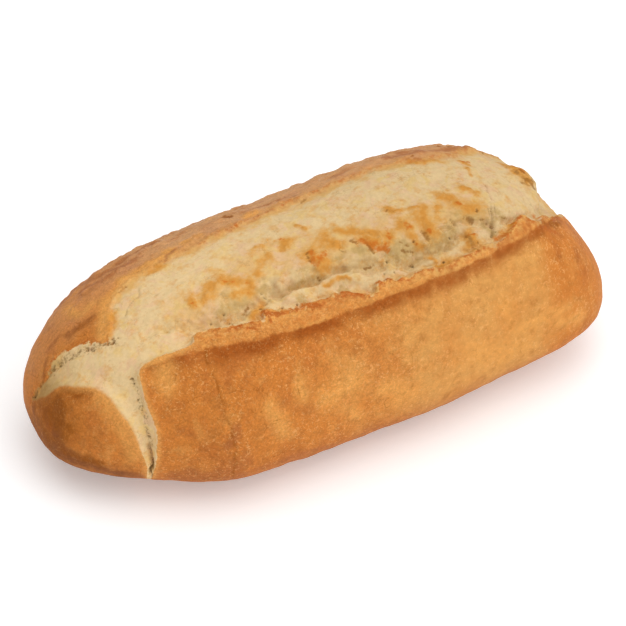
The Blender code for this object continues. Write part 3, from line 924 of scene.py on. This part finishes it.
def tint(red, green, blue):
    """A colour given from 0 to 255, as Blender keeps it."""
    shares = [value / 255 for value in (red, green, blue)]
    return [share / 12.92 if share <= 0.04045 else ((share + 0.055) / 1.055) ** 2.4 for share in shares]


def colour_setting(name, description, red, green, blue):
    default = tint(red, green, blue)
    return bpy.props.FloatVectorProperty(
        name=name, description=description, subtype="COLOR", size=3, min=0, max=1, default=default
    )


class LOAF_PG_colours(bpy.types.PropertyGroup):
    """Colours of the crust and the crumb."""

    panel_gold: colour_setting("Panel gold", "The near side where it is palest", 212, 153, 82)
    panel_amber: colour_setting("Panel amber", "The near side where it baked longer", 200, 122, 52)
    panel_brown: colour_setting("Panel brown", "Upright streaks of the near side", 180, 104, 46)
    crest_brown: colour_setting("Crest brown", "The band under the crest", 156, 80, 24)
    base_brown: colour_setting("Base brown", "The crust just above the base", 172, 102, 52)
    base_dark: colour_setting("Base dark", "The crust above the base at the nose", 124, 72, 40)
    light_gold: colour_setting("Light gold", "Crust that baked least", 222, 156, 80)
    shelf_gold: colour_setting("Shelf gold", "The thin crust between the crest and the tear", 214, 144, 70)
    rim_orange: colour_setting("Rim orange", "Torn rims and crags of crust", 180, 96, 36)
    rim_gold: colour_setting("Rim gold", "The pale rim round the smooth cut", 224, 158, 84)
    far_tan: colour_setting("Far tan", "The far side's crust", 204, 152, 103)
    far_rose: colour_setting("Far rose", "Rosy patches of the far side", 190, 130, 92)
    far_brown: colour_setting("Far brown", "Creases of the far side", 170, 106, 62)
    dark_brown: colour_setting("Dark brown", "The darkest baked places", 148, 82, 20)
    speck_pale: colour_setting("Speck", "Tiny pale specks of crust", 234, 176, 108)
    crumb_cream: colour_setting("Crumb cream", "Smooth torn crumb", 224, 194, 144)
    crumb_warm: colour_setting("Crumb warm", "Crumb that browned a little", 219, 176, 116)
    crumb_rose: colour_setting("Crumb rose", "Faint rosy patches of crumb", 224, 184, 142)
    crumb_yellow: colour_setting("Crumb yellow", "Faint yellow patches of crumb", 224, 188, 120)
    toast_pale: colour_setting("Toast pale", "Crumb that begins to toast", 218, 167, 94)
    toast_gold: colour_setting("Toast gold", "Toasted crumb", 209, 141, 58)
    toast_orange: colour_setting("Toast orange", "The most toasted crumb", 200, 112, 38)
    # Brown for scorched places and for painted shade in hollows.
    scorch_and_shade_brown: colour_setting("Umber brown", "Small scorched or hollow places", 142, 94, 42)
    # Olive used as painted shade deep in the tear.
    crevice_shade: colour_setting("Crevice olive", "Shaded crumb deep in the tear", 190, 156, 98)
    # Used as painted shade in pits, cracks and crevices.
    pit_and_crevice_shade: colour_setting("Pit olive", "Small pits and cracks in the crumb", 132, 100, 56)


class LOAF_PG_stage(bpy.types.PropertyGroup):
    """The studio round the loaf."""

    floor_colour: colour_setting("Floor colour", "The plain floor", 250, 250, 250)
    floor_size: bpy.props.FloatProperty(
        name="Floor size", description="Side of the square floor", default=8.0, min=1.0, unit="LENGTH"
    )
    camera_turn: bpy.props.FloatProperty(
        name="Camera turn", description="Angle round the loaf", default=math.radians(-24.88), subtype="ANGLE"
    )
    camera_rise: bpy.props.FloatProperty(
        name="Camera rise", description="Angle above the floor", default=math.radians(42), subtype="ANGLE"
    )
    camera_distance: bpy.props.FloatProperty(
        name="Camera distance",
        description="From the point it looks at",
        default=1.174,
        min=0.2,
        unit="LENGTH",
    )


class Finish:
    """Adds nodes to a material and joins them. Sizes and places are in millimetres."""

    def __init__(self, material):
        material.use_nodes = True
        self.tree = material.node_tree
        self.shader = self.tree.nodes["Principled BSDF"]
        self.place = self.tree.nodes.new("ShaderNodeTexCoord").outputs["Object"]
        split = self.add("ShaderNodeSeparateXYZ", {"Vector": self.place})
        self.x, self.y, self.z = (self.calculate("DIVIDE", split.outputs[axis], MM) for axis in "XYZ")

    def join(self, value, socket):
        if isinstance(value, bpy.types.NodeSocket):
            self.tree.links.new(value, socket)
        else:
            socket.default_value = value

    def add(self, kind, inputs, **settings):
        made = self.tree.nodes.new(kind)
        for name, value in settings.items():
            setattr(made, name, value)
        for name, value in inputs.items():
            self.join(value, made.inputs[name])
        return made

    def mark(self, name):
        return self.add("ShaderNodeAttribute", {}, attribute_name=name).outputs["Fac"]

    def stretched(self, x, y, z):
        """Positions with each axis scaled, so that patterns on them get longer or shorter."""
        return self.add("ShaderNodeMapping", {"Vector": self.place, "Scale": (x, y, z)}).outputs["Vector"]

    def noise(self, size, detail=4.0, roughness=0.6, distortion=0.0, place=None):
        inputs = {"Vector": place or self.place, "Scale": 1 / (size * MM), "Detail": detail}
        inputs.update({"Roughness": roughness, "Distortion": distortion})
        return self.add("ShaderNodeTexNoise", inputs).outputs["Fac"]

    def cells(self, size, place, feature="F1"):
        inputs = {"Vector": place, "Scale": 1 / (size * MM)}
        return self.add("ShaderNodeTexVoronoi", inputs, feature=feature)

    def warped(self, size, reach):
        """Positions moved about at random by up to half of reach."""
        inputs = {"Vector": self.place, "Scale": 1 / (size * MM), "Detail": 2.0}
        moves = self.add("ShaderNodeTexNoise", inputs).outputs["Color"]
        centred = self.vector("SUBTRACT", moves, (0.5, 0.5, 0.5))
        return self.vector("ADD", self.place, self.vector("MULTIPLY", centred, (reach * MM,) * 3))

    def vector(self, operation, first, second):
        made = self.add("ShaderNodeVectorMath", {}, operation=operation)
        self.join(first, made.inputs[0])
        self.join(second, made.inputs[1])
        return made.outputs["Vector"]

    def calculate(self, operation, first, *others):
        for other in others:
            made = self.add("ShaderNodeMath", {}, operation=operation)
            self.join(first, made.inputs[0])
            self.join(other, made.inputs[1])
            first = made.outputs[0]
        return first

    def sum(self, *values):
        return self.calculate("ADD", *values)

    def product(self, *values):
        return self.calculate("MULTIPLY", *values)

    def ramp(self, value, start, end, low=0.0, high=1.0):
        """low before start, high after end, and smooth between them."""
        inputs = {"Value": value, "From Min": start, "From Max": end, "To Min": low, "To Max": high}
        return self.add("ShaderNodeMapRange", inputs, interpolation_type="SMOOTHSTEP").outputs["Result"]

    def sway(self, noise, reach, trim=0.25):
        """Noise made to run from -reach to reach, with both ends of its range trimmed off."""
        return self.ramp(noise, trim, 1 - trim, -reach, reach)

    def broken(self, mark, noise, reach, start, end, most, trim=0.25):
        """How far a mark colours each place, where noise breaks up its edge."""
        swayed = self.sum(self.mark(mark), self.sway(noise, reach, trim))
        return self.ramp(swayed, start, end, 0.0, most)

    def dappled(self, mark, mottle, low, high):
        """How far a mark colours each place: from low to high of it, as the mottle grows."""
        return self.product(self.mark(mark), self.ramp(mottle, 0.3, 0.6, low, high))

    def blend(self, factor, first, second, mode="MIX"):
        made = self.tree.nodes.new("ShaderNodeMix")
        made.data_type = "RGBA"
        made.blend_type = mode
        for number, value in ((0, factor), (6, first), (7, second)):
            if number and not isinstance(value, bpy.types.NodeSocket):
                value = (*value, 1.0)
            self.join(value, made.inputs[number])
        return made.outputs[2]

    def shaded(self, colour, share):
        """The colour made lighter or darker."""
        grey = self.add("ShaderNodeCombineXYZ", {"X": share, "Y": share, "Z": share}).outputs[0]
        return self.blend(1.0, colour, grey, "MULTIPLY")


def crust_colour(finish, colours):
    """The near and the far side, then the crest, the base, the baked spots and the rims on them. Base, nose
    and right end hold painted shade.
    """
    wander = finish.noise(14, 2.0, 0.5)
    blotch = finish.noise(20)
    mottle = finish.noise(5)
    far = finish.ramp(finish.sum(finish.y, finish.sway(blotch, 8, 0)), 0, 22)
    colour = finish.blend(far, panel_colour(finish, colours, blotch), far_colour(finish, colours))
    pale = finish.broken("pale_crust", mottle, 0.3, 0.0, 1.0, 0.8)
    colour = finish.blend(pale, colour, colours.light_gold)
    skyline = finish.broken("far_rim", mottle, 0.35, 0.1, 1.0, 0.8)
    colour = finish.blend(skyline, colour, colours.far_brown)
    colour = with_crest(finish, colour, colours, wander, mottle)
    colour = finish.blend(finish.dappled("panel_dark", mottle, 0.3, 0.85), colour, colours.panel_brown)
    colour = finish.blend(finish.dappled("panel_light", mottle, 0.4, 0.9), colour, colours.light_gold)
    colour = with_base(finish, colour, colours, wander, mottle)
    colour = finish.blend(finish.dappled("lightly_baked", mottle, 0.4, 0.8), colour, colours.light_gold)
    # Baked places, with painted shade low on the nose.
    baked = finish.broken("baked", mottle, 0.45, 0.0, 1.1, 0.85)
    colour = finish.blend(baked, colour, finish.blend(far, colours.dark_brown, colours.far_brown))
    return with_specks(finish, with_rims(finish, colour, colours), colours)


def panel_colour(finish, colours, blotch):
    """The near side: golden to the right, amber to the left, and amber painted shade round the right end."""
    left = finish.ramp(finish.x, -80, 60, 0.62, -0.05)
    # Painted shade: amber towards the right end.
    right = finish.ramp(finish.x, 76, 126, 0.0, 0.95)
    amber = finish.ramp(finish.sum(blotch, left, right), 0.3, 0.95)
    colour = finish.blend(amber, colours.panel_gold, colours.panel_amber)
    upright = finish.noise(6, 4.0, 0.65, 0.4, finish.stretched(1.0, 1.0, 0.35))
    streak = finish.product(finish.ramp(upright, 0.42, 0.7), finish.ramp(finish.x, -20, 40, 0.6, 0.18))
    colour = finish.blend(streak, colour, colours.panel_brown)
    pale = finish.ramp(finish.noise(9, 4.0, 0.65, 0.6), 0.5, 0.72, 0.0, 0.4)
    return finish.blend(pale, colour, colours.panel_gold)


def far_colour(finish, colours):
    """The far side: mottled tan, golden by the tear and brown in long creases."""
    leftward = finish.ramp(finish.x, -50, -105, 0.0, 0.6)
    tan = finish.blend(leftward, colours.far_tan, colours.panel_amber)
    tan = finish.blend(finish.ramp(finish.noise(8), 0.45, 0.7, 0.0, 0.5), tan, colours.far_rose)
    by_tear = finish.sum(finish.mark("tear_depth"), finish.sway(finish.noise(6), 4.0, 0.2))
    share = (finish.ramp(finish.x, 20, -30, 0.3, 0.6), finish.ramp(finish.x, -50, -85, 0.45, 1.0))
    gold = finish.product(finish.ramp(by_tear, -6.5, -1.0, 0.0, 0.75), finish.calculate("MINIMUM", *share))
    tan = finish.blend(gold, tan, colours.toast_gold)
    height = finish.sum(finish.z, finish.sway(finish.noise(18, 3.0), 12, 0.2))
    tan = finish.blend(finish.ramp(height, 60, 34, 0.0, 0.75), tan, colours.panel_amber)
    creased = finish.noise(6, 5.0, 0.62, 0.5, finish.stretched(0.35, 1.0, 1.0))
    creased = finish.ramp(creased, 0.54, 0.72, 0.0, 0.6)
    crease = finish.product(creased, finish.ramp(height, 30, 60, 0.35, 1.0))
    return finish.blend(crease, tan, colours.far_brown)


def with_crest(finish, colour, colours, wander, mottle):
    """The baked band under the crest, and the shelf behind it."""
    below = finish.mark("below_crest")
    edge = finish.sum(below, finish.sway(wander, 1.2, 0), finish.sway(mottle, 0.6))
    sharp = finish.ramp(edge, -1.4, 0.8)
    band = finish.product(sharp, finish.ramp(below, 8.0, 0.5), finish.ramp(mottle, 0.3, 0.6, 0.35, 0.75))
    colour = finish.blend(band, colour, colours.crest_brown)
    baked = finish.product(finish.dappled("crest_baked", mottle, 0.85, 1.15), sharp)
    baked = finish.product(baked, finish.ramp(finish.x, -20, 40, 1.0, 0.65))
    colour = finish.blend(baked, colour, colours.crest_brown)
    behind = finish.product(finish.ramp(edge, 0.6, -1.6), finish.ramp(below, -18.0, -13.0))
    behind = finish.product(behind, finish.ramp(finish.y, 0, -6))
    return finish.blend(behind, colour, shelf_colour(finish, colours))


def shelf_colour(finish, colours):
    """The thin crust between the crest and the tear."""
    shelf = finish.blend(finish.ramp(finish.noise(4), 0.45, 0.7), colours.shelf_gold, colours.rim_gold)
    by_tear = finish.sum(finish.mark("tear_depth"), finish.sway(finish.noise(3), 2.0, 0.2))
    toasted = finish.product(finish.ramp(by_tear, -5.5, -0.5), finish.ramp(finish.x, 10, 40, 0.2, 0.75))
    shelf = finish.blend(toasted, shelf, colours.toast_pale)
    browner = finish.ramp(finish.x, 30, -10, 0.1, 0.32)
    browner = finish.product(browner, finish.ramp(finish.noise(7, 3.0), 0.3, 0.6))
    shelf = finish.blend(browner, shelf, colours.rim_orange)
    crags = finish.ramp(finish.noise(2.4, 4.0, 0.65, 0.4), 0.46, 0.66, 0.0, 0.42)
    shelf = finish.blend(crags, shelf, colours.rim_orange)
    pale = finish.ramp(finish.noise(2.2, 4.0, 0.65, 0.4), 0.54, 0.72, 0.0, 0.4)
    return finish.blend(pale, shelf, colours.speck_pale)


def with_base(finish, colour, colours, wander, mottle):
    """Browner crust down to the base, a darker bottom edge and nose end, each partly baked and partly painted
    shade.
    """
    brown = finish.blend(finish.ramp(finish.x, -94, -112), colours.base_brown, colours.base_dark)
    # Browner down to the base and darkest at the bottom edge: partly baked crust, partly painted shade.
    base = finish.ramp(finish.sum(finish.z, finish.sway(wander, 6, 0)), 34, 6, 0.0, 0.85)
    colour = finish.blend(base, colour, brown)
    edge = finish.ramp(finish.sum(finish.z, finish.sway(wander, 3, 0)), 8, 1, 0.0, 0.7)
    colour = finish.blend(edge, colour, colours.base_dark)
    # The nose's left end darker: partly baked colour, partly painted shade.
    nose_end_baked_and_shaded = finish.ramp(finish.sum(finish.x, finish.sway(wander, 6, 0)), -112, -133, 0.0, 0.45)
    nose_end_baked_and_shaded = finish.product(nose_end_baked_and_shaded, finish.ramp(finish.y, 6, -4))
    colour = finish.blend(nose_end_baked_and_shaded, colour, colours.dark_brown)
    # Dark places low down: browner base crust and painted shade.
    return finish.blend(finish.broken("base_brown_and_shade", mottle, 0.25, 0.1, 1.1, 0.85), colour, brown)


def with_rims(finish, colour, colours):
    """Torn rims: thin and golden round the smooth cut, orange and broken elsewhere."""
    depth = finish.mark("tear_depth")
    calm = finish.mark("calm")
    fine = finish.noise(2.4)
    cut_rim = finish.product(finish.ramp(depth, -3.2, 0.2), calm, finish.ramp(finish.y, -4, -24, 0.1, 0.75))
    colour = finish.blend(cut_rim, colour, colours.rim_gold)
    ragged = finish.product(finish.ramp(depth, -3.0, -0.5), finish.ramp(calm, 0.7, 0.2))
    ragged = finish.product(ragged, finish.ramp(fine, 0.42, 0.58), 0.75)
    spared = finish.calculate("MAXIMUM", finish.mark("pale_crust"), finish.mark("panel_light"))
    ragged = finish.product(ragged, finish.ramp(spared, 0.05, 0.5, 1.0, 0.25))
    colour = finish.blend(ragged, colour, colours.rim_orange)
    orange = finish.broken("orange", fine, 0.3, 0.25, 0.85, 0.9)
    colour = finish.blend(orange, colour, colours.rim_orange)
    # Scorched places and painted shade in hollows, in dark brown.
    dark = finish.broken("scorch_and_shade", fine, 0.2, 0.3, 0.9, 0.8)
    colour = finish.blend(dark, colour, colours.dark_brown)
    return finish.blend(finish.product(finish.mark("cracked"), 0.75), colour, colours.dark_brown)


def with_specks(finish, colour, colours):
    """Tiny pale specks and worm-like streaks of crust, hairline cracks and fine grain."""
    crowd = finish.product(
        finish.ramp(finish.noise(15, 2.0, 0.5), 0.35, 0.6, 0.35, 1.0),
        finish.ramp(finish.y, -5, 20, 1.0, 0.45),
        finish.ramp(finish.mark("crest_baked"), 0.1, 0.6, 0.8, 0.3),
        finish.ramp(finish.x, -98, -108, 1.0, 0.4),
    )
    cells = finish.cells(1.15, finish.warped(1.4, 1.6))
    number = finish.add("ShaderNodeSeparateColor", {"Color": cells.outputs["Color"]}).outputs["Red"]
    speck = finish.product(finish.ramp(cells.outputs["Distance"], 0.38, 0.12), finish.ramp(number, 0.7, 0.74))
    colour = finish.blend(finish.product(speck, crowd, 0.36), colour, colours.speck_pale)
    for size, seed in ((3.4, 0.0), (2.5, 3.0)):
        place = finish.vector("ADD", finish.place, (seed, seed, seed))
        off_line = finish.sum(finish.noise(size, 2.0, 0.5, 0.5, place), -0.5)
        off_line = finish.calculate("ABSOLUTE", off_line, 0.0)
        parts = finish.ramp(finish.noise(0.6 * size, 2.0, 0.5, 0.0, place), 0.52, 0.58)
        streak = finish.product(finish.ramp(off_line, 0.035, 0.01), parts, crowd, 0.5)
        colour = finish.blend(streak, colour, colours.speck_pale)
    walls = finish.cells(9, finish.warped(4, 6), "DISTANCE_TO_EDGE").outputs["Distance"]
    parts = finish.ramp(finish.noise(8, 2.0, 0.5), 0.55, 0.65)
    hairline = finish.product(finish.ramp(walls, 0.03, 0.0), parts, finish.ramp(finish.x, 0, 50, 0.5, 0.25))
    colour = finish.blend(hairline, colour, colours.dark_brown)
    mottle = finish.ramp(finish.noise(3.5, 4.0, 0.65), 0.3, 0.7, 0.93, 1.06)
    grain = finish.sway(finish.noise(1.0, 3.0, 0.7, 0.6), 1.0, 0.3)
    grain = finish.sum(finish.product(grain, finish.ramp(finish.x, 0, 50, 0.15, 0.045)), 1.0)
    return finish.shaded(colour, finish.product(mottle, grain))


def crumb_colour(finish, colours):
    """Cream crumb with faint patches, with painted shade in the crevice and deepening to brown at the band's
    tip.
    """
    patch = finish.noise(6, 5.0, 0.62)
    fine = finish.noise(2.2, 4.0, 0.65)
    warm = finish.sum(finish.ramp(patch, 0.35, 0.75, -0.1, 0.5), finish.product(finish.mark("warmth"), 0.8))
    colour = finish.blend(finish.ramp(warm, 0.1, 0.9), colours.crumb_cream, colours.crumb_warm)
    rosy = finish.ramp(finish.noise(7, 4.0, 0.6, 0.5), 0.47, 0.66, 0.0, 0.8)
    colour = finish.blend(rosy, colour, colours.crumb_rose)
    yellow = finish.ramp(finish.noise(8, 4.0, 0.6, 0.7), 0.5, 0.68, 0.0, 0.75)
    colour = finish.blend(yellow, colour, colours.crumb_yellow)
    colour = finish.blend(by_the_rims(finish), colour, colours.toast_pale)

    # Painted shade on the dome's flank above the crevice, deeper where the crumb lies lower.
    hollow = finish.sum(fine, finish.product(finish.mark("proud"), -0.12))
    shaded = finish.product(finish.mark("flank"), finish.ramp(hollow, 0.2, 0.7, 0.2, 0.65))
    colour = finish.blend(shaded, colour, colours.crevice_shade)
    # Strokes of painted shade on the crumb.
    painted_shade = finish.broken("painted_shade", fine, 0.4, 0.1, 1.1, 0.85, 0.2)
    colour = finish.blend(painted_shade, colour, colours.crevice_shade)
    # Painted shade towards the band's tip at the left end, olive and then brown.
    leftward = finish.sum(finish.x, finish.sway(patch, 3, 0.2))
    colour = finish.blend(finish.ramp(leftward, -110, -132, 0.0, 0.9), colour, colours.crevice_shade)
    colour = finish.blend(finish.ramp(leftward, -121, -133, 0.0, 0.6), colour, colours.scorch_and_shade_brown)
    return with_crackle(finish, with_toast(finish, colour, colours, patch, fine), colours)


def by_the_rims(finish):
    """How far the crumb goes yellow by the far crust and by the shelf."""
    depth = finish.sum(finish.mark("tear_depth"), finish.sway(finish.noise(9), 5.0, 0.2))
    at_far_side = finish.product(finish.ramp(finish.y, 0, 12), finish.ramp(depth, 7.0, 1.0))
    at_shelf = finish.product(finish.ramp(finish.y, -12, -22), finish.ramp(depth, 3.0, -2.0))
    kept = finish.ramp(finish.mark("calm"), 0.6, 0.1, 0.0, 0.8)
    return finish.product(finish.sum(at_far_side, at_shelf), kept)


def with_toast(finish, colour, colours, patch, fine):
    """Soft golden patches, each with an orange heart."""
    golden = finish.mark("golden")
    halo = finish.sum(finish.calculate("POWER", golden, 0.3), finish.sway(patch, 0.35, 0.2))
    colour = finish.blend(finish.ramp(halo, 0.05, 1.0, 0.0, 0.85), colour, colours.toast_pale)
    heart = finish.sum(finish.calculate("POWER", golden, 0.6), finish.product(finish.mark("proud"), 0.1))
    heart = finish.sum(heart, finish.sway(fine, 0.35, 0.2), finish.sway(patch, 0.35, 0.3))
    colour = finish.blend(finish.ramp(heart, 0.0, 1.2, 0.0, 0.85), colour, colours.toast_gold)
    stray = finish.product(finish.ramp(finish.noise(9, 5.0), 0.56, 0.7), finish.ramp(fine, 0.35, 0.65), 0.4)
    colour = finish.blend(stray, colour, colours.toast_gold)
    deep = finish.broken("orange", fine, 0.4, 0.2, 1.0, 0.9)
    colour = finish.blend(deep, colour, colours.toast_orange)
    # Scorched places and painted shade in hollows, in brown.
    dark = finish.broken("scorch_and_shade", fine, 0.3, 0.3, 0.9, 0.68)
    return finish.blend(dark, colour, colours.scorch_and_shade_brown)


def with_crackle(finish, colour, colours):
    """Painted shade in pits, hairline cracks and crevices, painted light across it, and fine grain of torn
    crumb.
    """
    crumbs = finish.noise(1.3, 3.0, 0.65)
    crevice = finish.mark("crevice")
    # Painted shade along the crevices, and deeper in them low down.
    seam = finish.product(finish.ramp(crevice, 0.1, 0.75), finish.ramp(crumbs, 0.48, 0.6, 0.0, 0.6))
    low = finish.product(finish.ramp(finish.z, 40, 26), finish.ramp(crumbs, 0.35, 0.55, 0.4, 0.85))
    hollow = finish.product(finish.ramp(crevice, 0.5, 0.95), low)
    walls = finish.cells(7, finish.warped(3, 5), "DISTANCE_TO_EDGE").outputs["Distance"]
    parts = finish.ramp(finish.noise(9, 3.0, 0.5), 0.5, 0.62)
    crack = finish.product(finish.ramp(walls, 0.045, 0.0), parts, 0.2)
    # Pits and cracks darkened with painted shade.
    pitted = finish.product(finish.mark("pitted"), 0.8)
    cracked = finish.product(finish.mark("cracked"), 0.55)
    for share in (pitted, cracked, seam, hollow, crack):
        colour = finish.blend(share, colour, colours.pit_and_crevice_shade)
    # Painted light: the crumb lighter towards the left end and darker towards the right.
    light = finish.ramp(finish.x, -100, 60, 1.06, 0.9)
    grain = finish.ramp(finish.noise(1.6, 5.0, 0.7), 0.3, 0.7, 0.93, 1.05)
    return finish.shaded(colour, finish.product(light, grain))


def torn_share(finish):
    """1 on crumb and 0 on crust: ragged by the shelf, sharp by the panel, soft on the far side."""
    calm = finish.mark("calm")
    jitter = finish.sway(finish.noise(1.8), 1.0, 0.2)
    jitter = finish.sum(jitter, finish.sway(finish.noise(6, 3.0), 1.6, 0.2))
    jitter = finish.product(jitter, finish.ramp(calm, 0.2, 0.8, 1.0, 0.25))
    tear = finish.sum(finish.mark("tear_depth"), jitter)
    at_nose = finish.product(calm, finish.ramp(finish.x, -100, -104))
    tear = finish.sum(tear, finish.product(at_nose, -1.0))
    at_far_side = finish.ramp(finish.y, 0, 14, 0.35, 3.2)
    at_corner = finish.product(finish.ramp(finish.x, -105, -98), finish.ramp(finish.y, -16, -6, 0.0, 2.6))
    spread = finish.calculate("MAXIMUM", at_far_side, at_corner)
    spread = finish.sum(spread, finish.ramp(finish.x, 0, 90, 0.0, 0.9), finish.product(at_nose, 0.7))
    return finish.ramp(finish.calculate("DIVIDE", tear, spread), -1.0, 1.0)


def loaf_material(colours):
    material = bpy.data.materials.new("baked_crust_and_crumb")
    finish = Finish(material)
    torn = torn_share(finish)
    colour = finish.blend(torn, crust_colour(finish, colours), crumb_colour(finish, colours))
    finish.join(colour, finish.shader.inputs["Base Color"])
    finish.join(finish.ramp(torn, 0, 1, CRUST_ROUGHNESS, CRUMB_ROUGHNESS), finish.shader.inputs["Roughness"])
    grain = {"Height": finish.noise(0.9), "Strength": GRAIN_STRENGTH, "Distance": GRAIN_HEIGHT}
    bump = finish.add("ShaderNodeBump", grain)
    finish.join(bump.outputs["Normal"], finish.shader.inputs["Normal"])
    finish.shader.inputs["Specular IOR Level"].default_value = SHEEN
    return material


class LOAF_OT_make_loaf(bpy.types.Operator):
    """Makes the loaf with its torn crumb and baked crust"""

    bl_idname = "loaf.make_loaf"
    bl_label = "Make the loaf"

    def execute(self, context):
        loaf = bpy.data.objects.new("crusty_loaf", loaf_mesh())
        context.scene.collection.objects.link(loaf)
        loaf.data.materials.append(loaf_material(context.scene.loaf_colours))
        loaf.data.calc_loop_triangles()
        thin = loaf.modifiers.new("fewer faces", "DECIMATE")
        thin.ratio = min(1.0, MOST_TRIANGLES / len(loaf.data.loop_triangles))
        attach(loaf, "root")
        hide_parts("loaf")
        return {"FINISHED"}


def make_floor(stage):
    side = stage.floor_size / 2
    mesh = bpy.data.meshes.new("floor")
    corners = [(-side, -side, 0), (side, -side, 0), (side, side, 0), (-side, side, 0)]
    mesh.from_pydata(corners, [], [(0, 1, 2, 3)])
    floor = bpy.data.objects.new("floor", mesh)
    bpy.context.scene.collection.objects.link(floor)
    floor.location.z = LOAF_LOW[2]
    material = bpy.data.materials.new("pale_floor")
    material.use_nodes = True
    shader = material.node_tree.nodes["Principled BSDF"]
    shader.inputs["Base Color"].default_value = (*stage.floor_colour, 1.0)
    shader.inputs["Roughness"].default_value = FLOOR_ROUGHNESS
    shader.inputs["Emission Color"].default_value = (1, 1, 1, 1)
    shader.inputs["Emission Strength"].default_value = FLOOR_GLOW
    mesh.materials.append(material)


def aim(thing, place, target):
    thing.location = place
    thing.rotation_euler = (Vector(target) - Vector(place)).to_track_quat("-Z", "Y").to_euler()


def add_softbox(name, place, size, power):
    light = bpy.data.lights.new(name, "AREA")
    light.size = size
    light.energy = power
    lamp = bpy.data.objects.new(name, light)
    bpy.context.scene.collection.objects.link(lamp)
    aim(lamp, place, LAMPS_AIM)


def add_camera(stage):
    camera = bpy.data.objects.new("camera", bpy.data.cameras.new("camera"))
    bpy.context.scene.collection.objects.link(camera)
    camera.data.lens = CAMERA_LENS
    camera.data.sensor_width = CAMERA_SENSOR
    turn, rise = stage.camera_turn, stage.camera_rise
    back = Vector((math.sin(turn) * math.cos(rise), -math.cos(turn) * math.cos(rise), math.sin(rise)))
    aim(camera, CAMERA_TARGET + back * stage.camera_distance, CAMERA_TARGET)
    bpy.context.scene.camera = camera


class LOAF_OT_make_stage(bpy.types.Operator):
    """Makes the floor, the soft lights and the camera"""

    bl_idname = "loaf.make_stage"
    bl_label = "Make the studio"

    def execute(self, context):
        stage = context.scene.loaf_stage
        make_floor(stage)
        add_camera(stage)
        for name, (place, size, power) in SOFTBOXES.items():
            add_softbox(name, place, size, power)
        world = bpy.data.worlds.new("pale_room")
        world.use_nodes = True
        background = world.node_tree.nodes["Background"]
        background.inputs["Color"].default_value = (1, 1, 1, 1)
        background.inputs["Strength"].default_value = ROOM_LIGHT
        context.scene.world = world
        context.scene.view_settings.view_transform = "Standard"
        return {"FINISHED"}


class LOAF_PT_panel(bpy.types.Panel):
    """Lists what the add-on makes"""

    bl_idname = "LOAF_PT_panel"
    bl_label = "Crusty loaf"
    bl_space_type = "VIEW_3D"
    bl_region_type = "UI"
    bl_category = "Loaf"

    def draw(self, context):
        for operator in (LOAF_OT_make_loaf, LOAF_OT_make_stage):
            self.layout.operator(operator.bl_idname)
        for group in (context.scene.loaf_colours, context.scene.loaf_stage):
            for name in group.__annotations__:
                self.layout.prop(group, name)


CLASSES = (LOAF_PG_colours, LOAF_PG_stage, LOAF_OT_make_loaf, LOAF_OT_make_stage, LOAF_PT_panel)


def register():
    for kind in CLASSES:
        bpy.utils.register_class(kind)
    bpy.types.Scene.loaf_colours = bpy.props.PointerProperty(type=LOAF_PG_colours)
    bpy.types.Scene.loaf_stage = bpy.props.PointerProperty(type=LOAF_PG_stage)


def unregister():
    del bpy.types.Scene.loaf_stage
    del bpy.types.Scene.loaf_colours
    for kind in reversed(CLASSES):
        bpy.utils.unregister_class(kind)


def main():
    register()
    bpy.ops.loaf.make_loaf()
    bpy.ops.loaf.make_stage()


if __name__ == "__main__":
    main()
